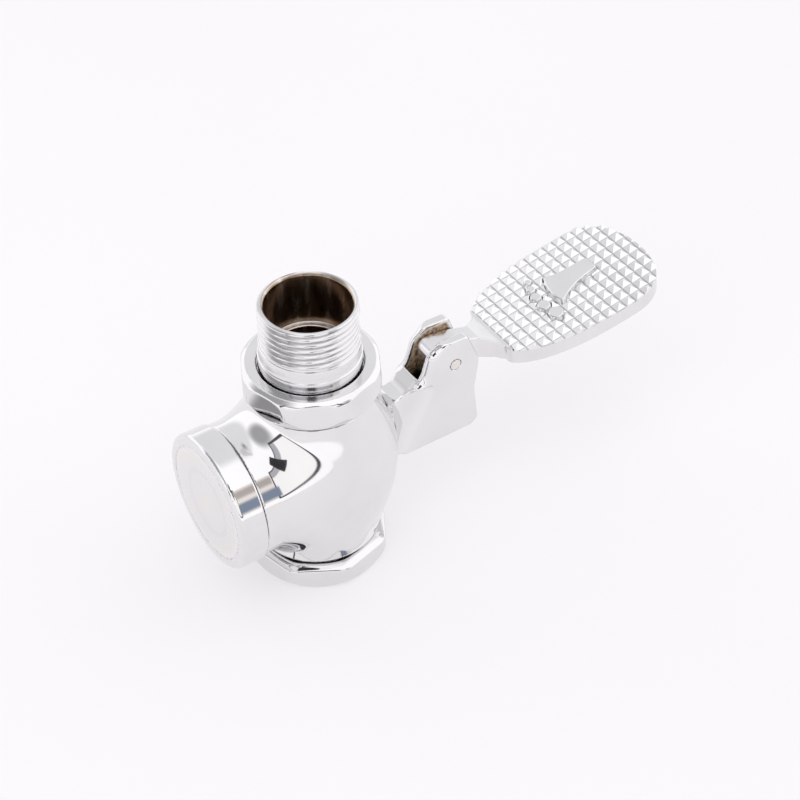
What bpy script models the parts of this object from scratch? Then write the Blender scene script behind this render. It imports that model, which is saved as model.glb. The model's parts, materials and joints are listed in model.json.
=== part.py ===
"""Foot valve: a pedal-worked, self-closing flush valve, built from its separate pieces.

Lengths are in metres. Every dimension is taken from the vertical pipe axis: x runs from it towards
the pedal and z is the height above the lower nut's face. An empty called foot_valve_frame moves the
whole valve so that the middle of its bounding box stands over the origin.
"""

import math

import bmesh
import bpy

MM = 0.001
GAP = 0.3 * MM                      # left between pieces that touch, press or screw together
EDGE = 0.3 * MM                     # small chamfer on a turned edge

# Inlet nipple, with a male G1 pipe thread
THREAD_R = 16.6 * MM
MOUTH_Z = 110.5 * MM
MOUTH_R = 15.4 * MM
THREAD_END_Z = 95.0 * MM
PLAIN_R = 16.9 * MM
COLLAR_R = 17.4 * MM
COLLAR_TOP_Z = 90.0 * MM
INLET_BORE_R = 14.3 * MM
INLET_STEP_R = 12.0 * MM

# Inlet nut and the joint under it
INLET_NUT_TOP_Z = 86.3 * MM
INLET_NUT_LOW_Z = 72.8 * MM
INLET_NUT_TOP_R = 21.4 * MM
INLET_NUT_LOW_R = 20.3 * MM
INLET_NUT_FLAT = 22.8 * MM          # axis to flat
INLET_NUT_LIP = 3.7 * MM            # thickness of the lip over the nipple's flange
INLET_NUT_CORNER = 24.2 * MM        # the corners are turned down to this radius
INLET_NUT_TURN = math.radians(17)   # direction of one flat
INLET_JOINT_R = 18.7 * MM           # nipple flange and body spigot
FLANGE_LOW_Z = 80.3 * MM
INLET_SPIGOT_Z = 78.0 * MM

# Outlet nut and the joint inside it
OUTLET_NUT_TOP_Z = 9.8 * MM
OUTLET_NUT_FLAT = 24.0 * MM
OUTLET_NUT_SHOULDER_Z = 8.4 * MM    # the flats lean in above this
OUTLET_NUT_CORNER = 25.4 * MM
OUTLET_NUT_FLOOR = 1.8 * MM
OUTLET_NUT_TURN = math.radians(14.5)
OUTLET_BORE_R = 16.3 * MM           # takes a 32 mm flush pipe
OUTLET_SPIGOT_R = 19.6 * MM
OUTLET_SPIGOT_Z = 5.5 * MM

# Barrel of the body
BARREL_LOW_Z = OUTLET_NUT_TOP_Z + GAP
BARREL_LOW_R = 22.0 * MM
BARREL_WIDE_Z = 44.0 * MM
BARREL_WIDE_R = 28.8 * MM
BARREL_TOP_Z = INLET_NUT_LOW_Z - GAP
BARREL_TOP_R = 20.4 * MM

# Piston chamber, on an axis along X
CHAMBER_Z = 42.6 * MM
CHAMBER_R = 19.0 * MM
CHAMBER_END_X = 9.3 * MM
BOSS_R = 23.8 * MM
BOSS_FACE_X = -32.6 * MM
CAP_THREAD_R = 21.3 * MM
CAP_THREAD_END_X = -37.0 * MM
CAP_R = 24.66 * MM
CAP_FACE_X = -42.4 * MM
CAP_DISC = 3.2 * MM
CAP_INNER_X = CAP_FACE_X + CAP_DISC

# Water ways in the body
INLET_WAY_R = 13.0 * MM
INLET_WAY_LOW_Z = 56.0 * MM
OUTLET_WAY_TOP_Z = 20.6 * MM
SEAT_WALL = 3.0 * MM
SEAT_HOLE_R = 10.5 * MM
PLENUM_R = 11.0 * MM
PLENUM_START_X = CHAMBER_END_X + SEAT_WALL
PLENUM_END_X = 24.3 * MM
DROP_WAY_LENGTH = 8.0 * MM
DROP_WAY_WIDTH = 16.0 * MM
DROP_WAY_LOW_Z = 12.0 * MM

# Bracket, with a slot between its two cheeks
BRACKET_HALF_WIDTH = 7.7 * MM
BRACKET_LOW_Z = 29.6 * MM
SLOT_HALF_WIDTH = 4.1 * MM
SLOT_START_X = 40.0 * MM
SLOT_FLOOR_Z = 34.0 * MM
PIN_X = 53.6 * MM
PIN_Z = 62.0 * MM
PIN_R = 2.1 * MM

# Piston and what rides on it; x positions are those of the closed valve
PISTON_FRONT_X = 3.1 * MM
PISTON_FRONT_R = 11.5 * MM
PISTON_WAIST_R = 6.8 * MM
PISTON_DISC_R = 18.4 * MM
PISTON_DISC_FRONT_X = -14.0 * MM
PISTON_DISC_BACK_X = -18.0 * MM
PISTON_HUB_R = 11.7 * MM
PISTON_BACK_X = -24.0 * MM
RELIEF_POCKET_R = 5.8 * MM
RELIEF_BORE_R = 2.2 * MM
RELIEF_LIP = 0.8 * MM
SCREW_R = 4.0 * MM
SCREW_HEAD_R = 6.5 * MM
SCREW_DEPTH = 7.0 * MM
WASHER = 2.3 * MM
BLEED_OFFSET = 8.0 * MM             # bleed hole to the piston's axis
BLEED_HOLE_R = 1.2 * MM
STEM_R = 1.4 * MM
STEM_HEAD_R = 5.0 * MM

# Push rod, gland and return spring
ROD_R = 2.5 * MM
ROD_BORE_R = ROD_R + GAP
GLAND_BORE_R = 4.2 * MM
GLAND_BORE_START_X = 27.7 * MM
ROD_INNER_X = 11.6 * MM
ROD_TIP_X = 44.7 * MM

# Pedal: hub and leg between the cheeks, neck, and a plate that tilts up away from the valve
PEDAL_TILT = math.radians(8.8)
PLATE_X = 73.0 * MM
PLATE_Z = 62.6 * MM
PLATE_LENGTH = 66.5 * MM
PLATE_HALF_WIDTH = 22.0 * MM
PLATE_MIDDLE = 46.0 * MM            # where the plate is widest, from its straight end
PLATE_NEAR_REACH = 50.0 * MM        # the oval would end here if it were not cut straight
PLATE_NECK_HALF = 10.8 * MM
PLATE_SQUARENESS = 0.78             # 1 is an ellipse, and less is squarer
PLATE_THICKNESS = 3.5 * MM
RIM_DEPTH = 7.5 * MM
RIM_WALL = 2.4 * MM
RIB_HALF_WIDTH = 3.0 * MM
LEVER_HALF_WIDTH = SLOT_HALF_WIDTH - GAP
LEG_X = ROD_TIP_X + GAP
LEG_FOOT_Z = 38.6 * MM
PICTOGRAM_HEIGHT = 1.0 * MM

# The valve's middle, half way from the cap's face to the pedal's tip
PEDAL_TIP_X = PLATE_X + PLATE_LENGTH * math.cos(PEDAL_TILT) + RIM_DEPTH * math.sin(PEDAL_TILT)
PIPE_X = -(CAP_FACE_X + PEDAL_TIP_X) / 2

FINE = 44                           # steps round the large outer pieces
MEDIUM = 28                         # steps round the piston and its seals
COARSE = 16                         # steps round the small pieces
OVER = 5.0 * MM                     # how far a cutter runs past the material


def clear_scene():
    for obj in list(bpy.data.objects):
        bpy.data.objects.remove(obj)


def new_collection(name):
    collection = bpy.data.collections.new(name)
    bpy.context.scene.collection.children.link(collection)
    return collection


clear_scene()
PARTS = new_collection("foot_valve")
CUTTERS = new_collection("foot_valve_cutters")
FRAME = bpy.data.objects.new("foot_valve_frame", None)
FRAME.location.x = PIPE_X
PARTS.objects.link(FRAME)


def finish(name, colour, roughness, metallic):
    """A Principled material."""
    material = bpy.data.materials.new(name)
    material.use_nodes = True
    shader = material.node_tree.nodes["Principled BSDF"]
    shader.inputs["Base Color"].default_value = (*colour, 1.0)
    shader.inputs["Roughness"].default_value = roughness
    shader.inputs["Metallic"].default_value = metallic
    return material


CHROME = finish("chrome", (0.80, 0.81, 0.83), 0.06, 1.0)
BRASS = finish("raw_brass", (0.62, 0.45, 0.22), 0.35, 1.0)
STEEL = finish("stainless_steel", (0.62, 0.62, 0.60), 0.25, 1.0)
RUBBER = finish("black_rubber", (0.025, 0.025, 0.027), 0.7, 0.0)


def add(name, data, material=None, location=(0, 0, 0), rotation=(0, 0, 0)):
    """A part when it has a material, and otherwise a cutter or another shape to combine with."""
    obj = bpy.data.objects.new(name, data)
    obj.parent = FRAME
    obj.location = location
    obj.rotation_euler = rotation
    if material:
        data.materials.append(material)
        PARTS.objects.link(obj)
    else:
        obj.hide_render = True
        obj.display_type = "WIRE"
        CUTTERS.objects.link(obj)
    return obj


def shade(mesh):
    mesh.shade_smooth()
    mesh.set_sharp_from_angle(angle=math.radians(35))


def box(name, low, high, material=None):
    """A box from its two opposite corners."""
    bm = bmesh.new()
    bmesh.ops.create_cube(bm, size=1.0)
    size = [b - a for a, b in zip(low, high)]
    bmesh.ops.scale(bm, vec=size, verts=bm.verts)
    mesh = bpy.data.meshes.new(name)
    bm.to_mesh(mesh)
    bm.free()
    return add(name, mesh, material, [(a + b) / 2 for a, b in zip(low, high)])


def rod_profile(radius, low, high):
    """A plain cylinder as a profile that runs down the outside."""
    return [(0, high), (radius, high), (radius, low), (0, low)]


def ring_profile(inner, outer, low, high):
    """A plain ring as a closed profile that runs down the outside and up the inside."""
    return [(outer, high), (outer, low), (inner, low), (inner, high)]


def round_profile(mean, height, radius, points=6):
    """An O-ring's section, as a closed profile."""
    turns = [math.tau * i / points for i in range(points)]
    return [(mean + radius * math.sin(a), height + radius * math.cos(a)) for a in turns]


def arc(centre, radius, start, end, points):
    """Points along an arc, from one angle in degrees to another."""
    angles = [math.radians(start + (end - start) * i / (points - 1)) for i in range(points)]
    return [(centre[0] + radius * math.cos(a), centre[1] + radius * math.sin(a)) for a in angles]


def turned(name, profile, material=None, axis="Z", steps=FINE, centre=(0, 0, 0)):
    """A solid of revolution about an axis through centre, from (radius, place along the axis) pairs."""
    mesh = bpy.data.meshes.new(name)
    count = len(profile)
    edges = [(i, i + 1) for i in range(count - 1)]
    if min(radius for radius, _ in profile) > 0:
        edges.append((count - 1, 0))
    places = {
        "X": [(height, radius, 0) for radius, height in profile],
        "Y": [(0, height, radius) for radius, height in profile],
        "Z": [(radius, 0, height) for radius, height in profile],
    }
    mesh.from_pydata(places[axis], edges, [])
    obj = add(name, mesh, material, centre)
    screw = obj.modifiers.new("Turn", "SCREW")
    screw.axis = axis
    screw.steps = steps
    screw.render_steps = steps
    screw.use_merge_vertices = True
    screw.merge_threshold = 0.00001
    return obj


def on_chamber(name, profile, material=None, steps=FINE):
    """A solid turned about the chamber's axis; its heights are x positions."""
    return turned(name, profile, material, "X", steps, (0, 0, CHAMBER_Z))


def as_mesh(curve_object, name, material=None):
    """The mesh solid of a curve, with its caps welded on. The curve is removed."""
    bpy.context.view_layer.update()
    depsgraph = bpy.context.evaluated_depsgraph_get()
    mesh = bpy.data.meshes.new_from_object(curve_object.evaluated_get(depsgraph))
    mesh.name = name
    bm = bmesh.new()
    bm.from_mesh(mesh)
    bmesh.ops.remove_doubles(bm, verts=bm.verts, dist=0.000001)
    bm.to_mesh(mesh)
    bm.free()
    mesh.materials.clear()
    location = curve_object.location.copy()
    rotation = curve_object.rotation_euler.copy()
    bpy.data.objects.remove(curve_object)
    return add(name, mesh, material, location, rotation)


def extruded(name, points, thickness, location=(0, 0, 0), rotation=(0, 0, 0), material=None):
    """A flat outline made into a plate of even thickness."""
    curve = bpy.data.curves.new(name + "_outline", "CURVE")
    curve.dimensions = "2D"
    curve.fill_mode = "BOTH"
    curve.extrude = thickness / 2
    spline = curve.splines.new("POLY")
    spline.use_cyclic_u = True
    spline.points.add(len(points) - 1)
    for knot, (x, y) in zip(spline.points, points):
        knot.co = (x, y, 0, 1)
    return as_mesh(add(name + "_outline", curve, None, location, rotation), name, material)


def combine(obj, other, operation="DIFFERENCE"):
    """Cut obj with other, or join or intersect the two."""
    step = obj.modifiers.new(other.name, "BOOLEAN")
    step.operation = operation
    step.object = other


def spring(name, mean, wire, start_x, end_x, turns, material, points_per_turn=8):
    """A coil spring about the chamber's axis, between two x positions."""
    curve = bpy.data.curves.new(name, "CURVE")
    curve.dimensions = "3D"
    curve.bevel_depth = wire
    curve.bevel_resolution = 2
    curve.use_fill_caps = True
    spline = curve.splines.new("POLY")
    count = turns * points_per_turn + 1
    spline.points.add(count - 1)
    low = start_x + wire
    high = end_x - wire
    for i, point in enumerate(spline.points):
        turn = math.tau * i / points_per_turn
        x = low + (high - low) * i / (count - 1)
        point.co = (x, mean * math.cos(turn), CHAMBER_Z + mean * math.sin(turn), 1)
    return add(name, curve, material)


def eight_sided(name, flat, low, high, turn, lean=0.0):
    """An eight-sided prism about the pipe axis, with a flat in the direction of turn.

    With a lean, it narrows upwards by that much for each unit of height, and flat is its size at the top.
    """
    bm = bmesh.new()
    top = flat / math.cos(math.pi / 8)
    base = (flat + lean * (high - low)) / math.cos(math.pi / 8)
    bmesh.ops.create_cone(bm, cap_ends=True, segments=8, radius1=base, radius2=top, depth=high - low)
    mesh = bpy.data.meshes.new(name)
    bm.to_mesh(mesh)
    bm.free()
    return add(name, mesh, None, (0, 0, (low + high) / 2), (0, 0, turn - math.pi / 8))


def barrel_side(points=6):
    """The barrel's outer side, top to bottom: two swelling curves that meet at its widest height."""
    side = []
    for i in range(points):
        t = i / points
        swell = math.sin(t * math.pi / 2) ** 1.2
        radius = BARREL_TOP_R + (BARREL_WIDE_R - BARREL_TOP_R) * swell
        side.append((radius, BARREL_TOP_Z + (BARREL_WIDE_Z - BARREL_TOP_Z) * t))
    for i in range(points + 1):
        t = i / points
        swell = abs(math.cos(t * math.pi / 2)) ** 1.35
        radius = BARREL_LOW_R + (BARREL_WIDE_R - BARREL_LOW_R) * swell
        side.append((radius, BARREL_WIDE_Z + (BARREL_LOW_Z - BARREL_WIDE_Z) * t))
    return side


def bracket_outline():
    """The bracket from the side, as (x, z): foot, outer edge, rounded top and the dip to the barrel."""
    foot = [(20.0 * MM, BRACKET_LOW_Z), (61.4 * MM, BRACKET_LOW_Z), (63.6 * MM, 32.2 * MM)]
    outer_edge = [(62.1 * MM, 47.0 * MM), (63.8 * MM, 60.0 * MM), (58.4 * MM, 71.6 * MM)]
    top = [(56.6 * MM, 72.4 * MM), (50.4 * MM, 72.6 * MM), (46.6 * MM, 71.4 * MM), (43.8 * MM, 68.6 * MM)]
    dip = [(41.9 * MM, 64.3 * MM), (39.6 * MM, 60.0 * MM), (35.3 * MM, 56.2 * MM), (20.0 * MM, 52.0 * MM)]
    return foot + outer_edge + top + dip


def chamber_bore():
    """Everything bored along the chamber's axis: gland, rod hole, plenum, seat hole and chamber."""
    gland_end = SLOT_START_X + OVER
    bore = [(0, gland_end), (GLAND_BORE_R, gland_end), (GLAND_BORE_R, GLAND_BORE_START_X)]
    bore += [(ROD_BORE_R, GLAND_BORE_START_X), (ROD_BORE_R, PLENUM_END_X)]
    bore += [(PLENUM_R, PLENUM_END_X), (PLENUM_R, PLENUM_START_X)]
    bore += [(SEAT_HOLE_R, PLENUM_START_X), (SEAT_HOLE_R, CHAMBER_END_X)]
    chamber_mouth = CAP_THREAD_END_X - OVER
    bore += [(CHAMBER_R, CHAMBER_END_X), (CHAMBER_R, chamber_mouth), (0, chamber_mouth)]
    return bore


def valve_body():
    upright = [(0, INLET_SPIGOT_Z), (INLET_JOINT_R, INLET_SPIGOT_Z), (INLET_JOINT_R, BARREL_TOP_Z)]
    upright += barrel_side()
    upright += [(OUTLET_SPIGOT_R, BARREL_LOW_Z), (OUTLET_SPIGOT_R, OUTLET_SPIGOT_Z), (0, OUTLET_SPIGOT_Z)]
    body = turned("valve_body", upright, CHROME)

    boss_profile = [(0, 0), (BOSS_R, 0), (BOSS_R, BOSS_FACE_X), (CAP_THREAD_R, BOSS_FACE_X)]
    boss_profile += [(CAP_THREAD_R, CAP_THREAD_END_X), (0, CAP_THREAD_END_X)]
    combine(body, on_chamber("boss", boss_profile), "UNION")
    on_edge = (math.pi / 2, 0, 0)
    bracket = extruded("bracket", bracket_outline(), 2 * BRACKET_HALF_WIDTH, (0, 0, 0), on_edge)
    combine(body, bracket, "UNION")

    inlet_way = rod_profile(INLET_WAY_R, INLET_WAY_LOW_Z, INLET_SPIGOT_Z + OVER)
    combine(body, turned("inlet_way", inlet_way))
    outlet_way = rod_profile(OUTLET_BORE_R, OUTLET_SPIGOT_Z - OVER, OUTLET_WAY_TOP_Z)
    combine(body, turned("outlet_way", outlet_way))
    drop_low = (PLENUM_START_X + GAP, -DROP_WAY_WIDTH / 2, DROP_WAY_LOW_Z)
    drop_high = (PLENUM_START_X + DROP_WAY_LENGTH, DROP_WAY_WIDTH / 2, CHAMBER_Z)
    combine(body, box("drop_way", drop_low, drop_high))

    slot_low = (SLOT_START_X, -SLOT_HALF_WIDTH, SLOT_FLOOR_Z)
    combine(body, box("slot", slot_low, (80.0 * MM, SLOT_HALF_WIDTH, 90.0 * MM)))
    combine(body, pin_hole("cheek_holes"))
    combine(body, on_chamber("chamber", chamber_bore()))


def pin_hole(name):
    """A cutter along the pivot's axis."""
    length = BRACKET_HALF_WIDTH + OVER
    return turned(name, rod_profile(PIN_R + GAP, -length, length), None, "Y", COARSE, (PIN_X, 0, PIN_Z))


def inlet_nipple():
    profile = [(THREAD_R - EDGE, MOUTH_Z), (THREAD_R, MOUTH_Z - EDGE), (THREAD_R, THREAD_END_Z)]
    profile += [(PLAIN_R, THREAD_END_Z), (PLAIN_R, COLLAR_TOP_Z), (COLLAR_R, COLLAR_TOP_Z - EDGE)]
    flange_top = INLET_NUT_TOP_Z - INLET_NUT_LIP - GAP
    profile += [(COLLAR_R, flange_top), (INLET_JOINT_R, flange_top), (INLET_JOINT_R, FLANGE_LOW_Z)]
    profile += [(INLET_STEP_R, FLANGE_LOW_Z), (INLET_STEP_R, COLLAR_TOP_Z), (INLET_BORE_R, COLLAR_TOP_Z)]
    profile += [(INLET_BORE_R, MOUTH_Z - 1.0 * MM), (MOUTH_R, MOUTH_Z)]
    turned("inlet_nipple", profile, CHROME)


def inlet_gasket():
    profile = ring_profile(INLET_STEP_R, INLET_JOINT_R, INLET_SPIGOT_Z + GAP, FLANGE_LOW_Z - GAP)
    turned("inlet_gasket", profile, RUBBER, "Z", MEDIUM)


def inlet_nut():
    """The union nut: a turned blank with a lip over the nipple's flange, cut to eight sides."""
    lip_z = INLET_NUT_TOP_Z - INLET_NUT_LIP
    lip_r = COLLAR_R + GAP
    inside = INLET_JOINT_R + GAP
    profile = [(INLET_NUT_TOP_R, INLET_NUT_TOP_Z), (INLET_NUT_FLAT, 84.7 * MM)]
    profile += [(INLET_NUT_CORNER, 81.4 * MM), (INLET_NUT_CORNER, 78.8 * MM)]
    profile += [(INLET_NUT_FLAT, 75.6 * MM), (INLET_NUT_LOW_R, INLET_NUT_LOW_Z)]
    profile += [(inside, INLET_NUT_LOW_Z), (inside, lip_z), (lip_r, lip_z), (lip_r, INLET_NUT_TOP_Z - EDGE)]
    profile += [(lip_r + EDGE, INLET_NUT_TOP_Z)]
    nut = turned("inlet_nut", profile, CHROME)
    low = INLET_NUT_LOW_Z - OVER
    high = INLET_NUT_TOP_Z + OVER
    combine(nut, eight_sided("inlet_nut_sides", INLET_NUT_FLAT, low, high, INLET_NUT_TURN), "INTERSECT")


def outlet_nut():
    """The nut that the valve stands on, with a floor that holds the flush pipe's seal."""
    inside = OUTLET_SPIGOT_R + GAP
    foot_r = 23.4 * MM
    shoulder_lean = 2.0
    profile = [(OUTLET_NUT_CORNER, OUTLET_NUT_TOP_Z), (OUTLET_NUT_CORNER, 2.6 * MM)]
    profile += [(foot_r, 0), (OUTLET_BORE_R, 0)]
    profile += [(OUTLET_BORE_R, OUTLET_NUT_FLOOR), (inside, OUTLET_NUT_FLOOR), (inside, OUTLET_NUT_TOP_Z)]
    nut = turned("outlet_nut", profile, CHROME)
    high = OUTLET_NUT_TOP_Z + OVER
    sides = eight_sided("outlet_nut_sides", OUTLET_NUT_FLAT, -OVER, high, OUTLET_NUT_TURN)
    combine(nut, sides, "INTERSECT")
    top_flat = OUTLET_NUT_FLAT - shoulder_lean * (high - OUTLET_NUT_SHOULDER_Z)
    low = -OVER
    shoulder = eight_sided("outlet_nut_shoulder", top_flat, low, high, OUTLET_NUT_TURN, shoulder_lean)
    combine(nut, shoulder, "INTERSECT")


def outlet_seals():
    slip_low = OUTLET_NUT_FLOOR + GAP
    slip_high = slip_low + 0.8 * MM
    slip = ring_profile(OUTLET_BORE_R, OUTLET_SPIGOT_R, slip_low, slip_high)
    turned("outlet_slip_ring", slip, BRASS, "Z", MEDIUM)
    gasket = ring_profile(OUTLET_BORE_R, OUTLET_SPIGOT_R, slip_high + GAP, OUTLET_SPIGOT_Z - GAP)
    turned("outlet_gasket", gasket, RUBBER, "Z", MEDIUM)


def end_cap():
    """The cap: a disc with a rounded rim, a threaded skirt and a pin that centres the relief spring."""
    rim = 1.6 * MM
    skirt_x = BOSS_FACE_X - GAP
    inside = CAP_THREAD_R + GAP
    pin_r = 2.3 * MM
    profile = [(0, CAP_INNER_X + 1.4 * MM), (pin_r, CAP_INNER_X + 1.4 * MM), (pin_r, CAP_INNER_X)]
    profile += [(inside, CAP_INNER_X), (inside, skirt_x), (CAP_R, skirt_x)]
    profile += arc((CAP_R - rim, CAP_FACE_X + rim), rim, 0, -90, 4)
    profile += [(0, CAP_FACE_X)]
    on_chamber("end_cap", profile, CHROME)


def cap_o_ring():
    section = 0.8 * MM
    middle_x = (CAP_INNER_X + CAP_THREAD_END_X) / 2
    mean = (CAP_THREAD_R + CHAMBER_R) / 2
    on_chamber("cap_o_ring", round_profile(mean, middle_x, section), RUBBER, MEDIUM)


def piston():
    screw_hole = SCREW_R + GAP
    profile = [(PISTON_FRONT_R, PISTON_FRONT_X), (PISTON_FRONT_R, PISTON_FRONT_X - 2.1 * MM)]
    profile += [(PISTON_WAIST_R, PISTON_FRONT_X - 2.1 * MM), (PISTON_WAIST_R, PISTON_DISC_FRONT_X)]
    profile += [(PISTON_DISC_R, PISTON_DISC_FRONT_X), (PISTON_DISC_R, PISTON_DISC_BACK_X)]
    profile += [(PISTON_HUB_R, PISTON_DISC_BACK_X), (PISTON_HUB_R, PISTON_BACK_X)]
    profile += [(RELIEF_POCKET_R, PISTON_BACK_X), (RELIEF_POCKET_R, PISTON_DISC_BACK_X)]
    lip_r = RELIEF_BORE_R + 1.0 * MM
    lip_back = PISTON_DISC_BACK_X - RELIEF_LIP
    screw_hole_end = PISTON_FRONT_X - SCREW_DEPTH
    profile += [(lip_r, PISTON_DISC_BACK_X), (lip_r, lip_back), (RELIEF_BORE_R, lip_back)]
    profile += [(RELIEF_BORE_R, screw_hole_end), (screw_hole, screw_hole_end), (screw_hole, PISTON_FRONT_X)]
    body = on_chamber("piston", profile, BRASS, MEDIUM)
    bleed = rod_profile(BLEED_HOLE_R, PISTON_BACK_X - OVER, PISTON_DISC_FRONT_X + OVER)
    combine(body, turned("bleed_hole", bleed, None, "X", 12, (0, 0, CHAMBER_Z + BLEED_OFFSET)))


def bleed_jet():
    """The jet, near the back end of its hole. Its own bore sets how long the flush lasts."""
    jet_r = BLEED_HOLE_R - GAP
    jet = ring_profile(0.35 * MM, jet_r, PISTON_BACK_X + GAP, PISTON_BACK_X + 5.0 * MM)
    turned("bleed_jet", jet, BRASS, "X", 12, (0, 0, CHAMBER_Z + BLEED_OFFSET))


def piston_seals():
    cup_front = PISTON_DISC_BACK_X - GAP
    cup_back = PISTON_BACK_X + 2.0 * MM
    inner = PISTON_HUB_R + GAP
    outer = CHAMBER_R - GAP
    lip = 1.2 * MM
    cup = [(outer - GAP, cup_front), (outer, cup_back), (outer - lip, cup_back)]
    cup += [(outer - lip - GAP, cup_front - lip), (outer - 3 * lip, cup_front - lip)]
    cup += [(outer - 3 * lip, cup_back), (inner, cup_back), (inner, cup_front)]
    on_chamber("piston_cup_seal", cup, RUBBER, MEDIUM)
    clamp = ring_profile(inner, inner + 2.8 * MM, PISTON_BACK_X + GAP, cup_back - GAP)
    on_chamber("cup_seal_clamp_ring", clamp, BRASS, MEDIUM)

    washer_front = PISTON_FRONT_X + GAP + WASHER
    washer = ring_profile(SCREW_R + GAP, PISTON_FRONT_R - 0.5 * MM, PISTON_FRONT_X + GAP, washer_front)
    on_chamber("seat_washer", washer, RUBBER, MEDIUM)
    head = washer_front + GAP
    screw = [(SCREW_HEAD_R, head + 2.0 * MM), (SCREW_HEAD_R, head), (SCREW_R, head)]
    screw_end = PISTON_FRONT_X - SCREW_DEPTH + GAP
    screw += [(SCREW_R, screw_end), (RELIEF_BORE_R, screw_end), (RELIEF_BORE_R, head + 2.0 * MM)]
    on_chamber("seat_washer_screw", screw, BRASS, COARSE)


def valve_seat():
    """The seat ring, pressed into the end wall, with a narrow lip for the seat washer."""
    bore = 8.0 * MM
    flange_face = CHAMBER_END_X - GAP - 2.0 * MM
    lip_x = PISTON_FRONT_X + WASHER + 2 * GAP
    profile = [(SEAT_HOLE_R - GAP, PLENUM_START_X - GAP), (SEAT_HOLE_R - GAP, CHAMBER_END_X - GAP)]
    profile += [(12.5 * MM, CHAMBER_END_X - GAP), (12.5 * MM, flange_face), (bore + 1.2 * MM, flange_face)]
    profile += [(bore + 0.8 * MM, lip_x), (bore, lip_x), (bore, PLENUM_START_X - GAP)]
    on_chamber("valve_seat", profile, BRASS, MEDIUM)


def relief_valve():
    seal_front = PISTON_DISC_BACK_X - RELIEF_LIP - GAP
    seal_back = seal_front - 1.8 * MM
    seal = ring_profile(STEM_R + GAP, STEM_HEAD_R - GAP, seal_back, seal_front)
    on_chamber("relief_seal", seal, RUBBER, COARSE)
    head_front = seal_back - GAP
    head_back = head_front - 2.0 * MM
    spigot_r = 2.3 * MM
    spigot_back = head_back - 1.8 * MM
    stem = [(0, ROD_INNER_X - GAP), (STEM_R, ROD_INNER_X - GAP), (STEM_R, head_front)]
    stem += [(STEM_HEAD_R, head_front), (STEM_HEAD_R, head_back), (spigot_r, head_back)]
    stem += [(spigot_r, spigot_back), (0, spigot_back)]
    on_chamber("relief_stem", stem, BRASS, COARSE)
    spring("relief_spring", 3.2 * MM, 0.35 * MM, CAP_INNER_X + GAP, head_back - GAP, 7, STEEL)
    spring("piston_spring", 10.3 * MM, 0.7 * MM, CAP_INNER_X + GAP, PISTON_BACK_X - GAP, 4, STEEL, 12)


def push_rod():
    """The rod, its seal, its guide bush, and the spring and collar that push it back out."""
    tip = 0.8 * MM                  # chamfer at the outer end
    rod = [(0, ROD_TIP_X), (ROD_R - tip, ROD_TIP_X), (ROD_R, ROD_TIP_X - tip)]
    rod += [(ROD_R, ROD_INNER_X), (0, ROD_INNER_X)]
    on_chamber("push_rod", rod, STEEL, COARSE)
    section = 0.5 * MM
    ring_x = GLAND_BORE_START_X + GAP + section
    ring_mean = (ROD_R + GLAND_BORE_R) / 2
    on_chamber("push_rod_o_ring", round_profile(ring_mean, ring_x, section), RUBBER, COARSE)
    bush_start = ring_x + section + GAP
    bush_end = bush_start + 5.0 * MM
    bush = ring_profile(ROD_BORE_R, GLAND_BORE_R - GAP, bush_start, bush_end)
    on_chamber("gland_bush", bush, BRASS, COARSE)
    collar_x = 41.0 * MM
    spring("push_rod_spring", 3.35 * MM, 0.3 * MM, bush_end + GAP, collar_x - GAP, 5, STEEL)
    collar = ring_profile(ROD_BORE_R, GLAND_BORE_R - 2 * GAP, collar_x, collar_x + 1.2 * MM)
    on_chamber("push_rod_collar", collar, STEEL, COARSE)


def lever_side():
    """The lever from the side, as (x, z): leg down to the push rod, hub, and neck out to the plate."""
    leg_width = 5.0 * MM
    corner = 3.0 * MM
    hub_top = 69.4 * MM
    leg = [(LEG_X, LEG_FOOT_Z), (LEG_X + leg_width, LEG_FOOT_Z), (LEG_X + leg_width + 1.5 * MM, 52.0 * MM)]
    under_neck = [(55.0 * MM, 55.2 * MM), (64.0 * MM, 56.6 * MM), (80.0 * MM, 56.8 * MM)]
    neck_top = [(80.0 * MM, PLATE_Z), (PLATE_X, PLATE_Z + 0.3 * MM), (66.0 * MM, 65.6 * MM)]
    hub = [(58.0 * MM, 68.2 * MM), (52.0 * MM, hub_top)]
    hub += arc((LEG_X + corner, hub_top - corner), corner, 90, 180, 4)
    return leg + under_neck + neck_top + hub


def lever_plan():
    """The lever from above, as (x, y): narrow between the cheeks, then flaring to meet the plate."""
    near_side = [(LEG_X - OVER, -LEVER_HALF_WIDTH), (65.2 * MM, -LEVER_HALF_WIDTH), (68.0 * MM, -5.2 * MM)]
    near_side += [(71.0 * MM, -7.8 * MM), (PLATE_X + 0.5 * MM, -10.8 * MM), (82.0 * MM, -10.8 * MM)]
    return near_side + [(x, -y) for x, y in reversed(near_side)]


def plate_outline(inset=0.0, points=40):
    """The pedal plate from above, as (length, width): a squarish oval, cut straight at the neck."""
    outline = [(inset, PLATE_NECK_HALF), (inset, -PLATE_NECK_HALF)]
    for i in range(1, points):
        turn = math.tau * i / points - math.pi
        reach = PLATE_NEAR_REACH if math.cos(turn) < 0 else PLATE_LENGTH - PLATE_MIDDLE
        along = math.copysign(abs(math.cos(turn)) ** PLATE_SQUARENESS, math.cos(turn))
        across = math.copysign(abs(math.sin(turn)) ** PLATE_SQUARENESS, math.sin(turn))
        u = PLATE_MIDDLE + (reach - inset) * along
        if u > inset + 0.5 * MM:
            outline.append((u, (PLATE_HALF_WIDTH - inset) * across))
    return outline


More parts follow.
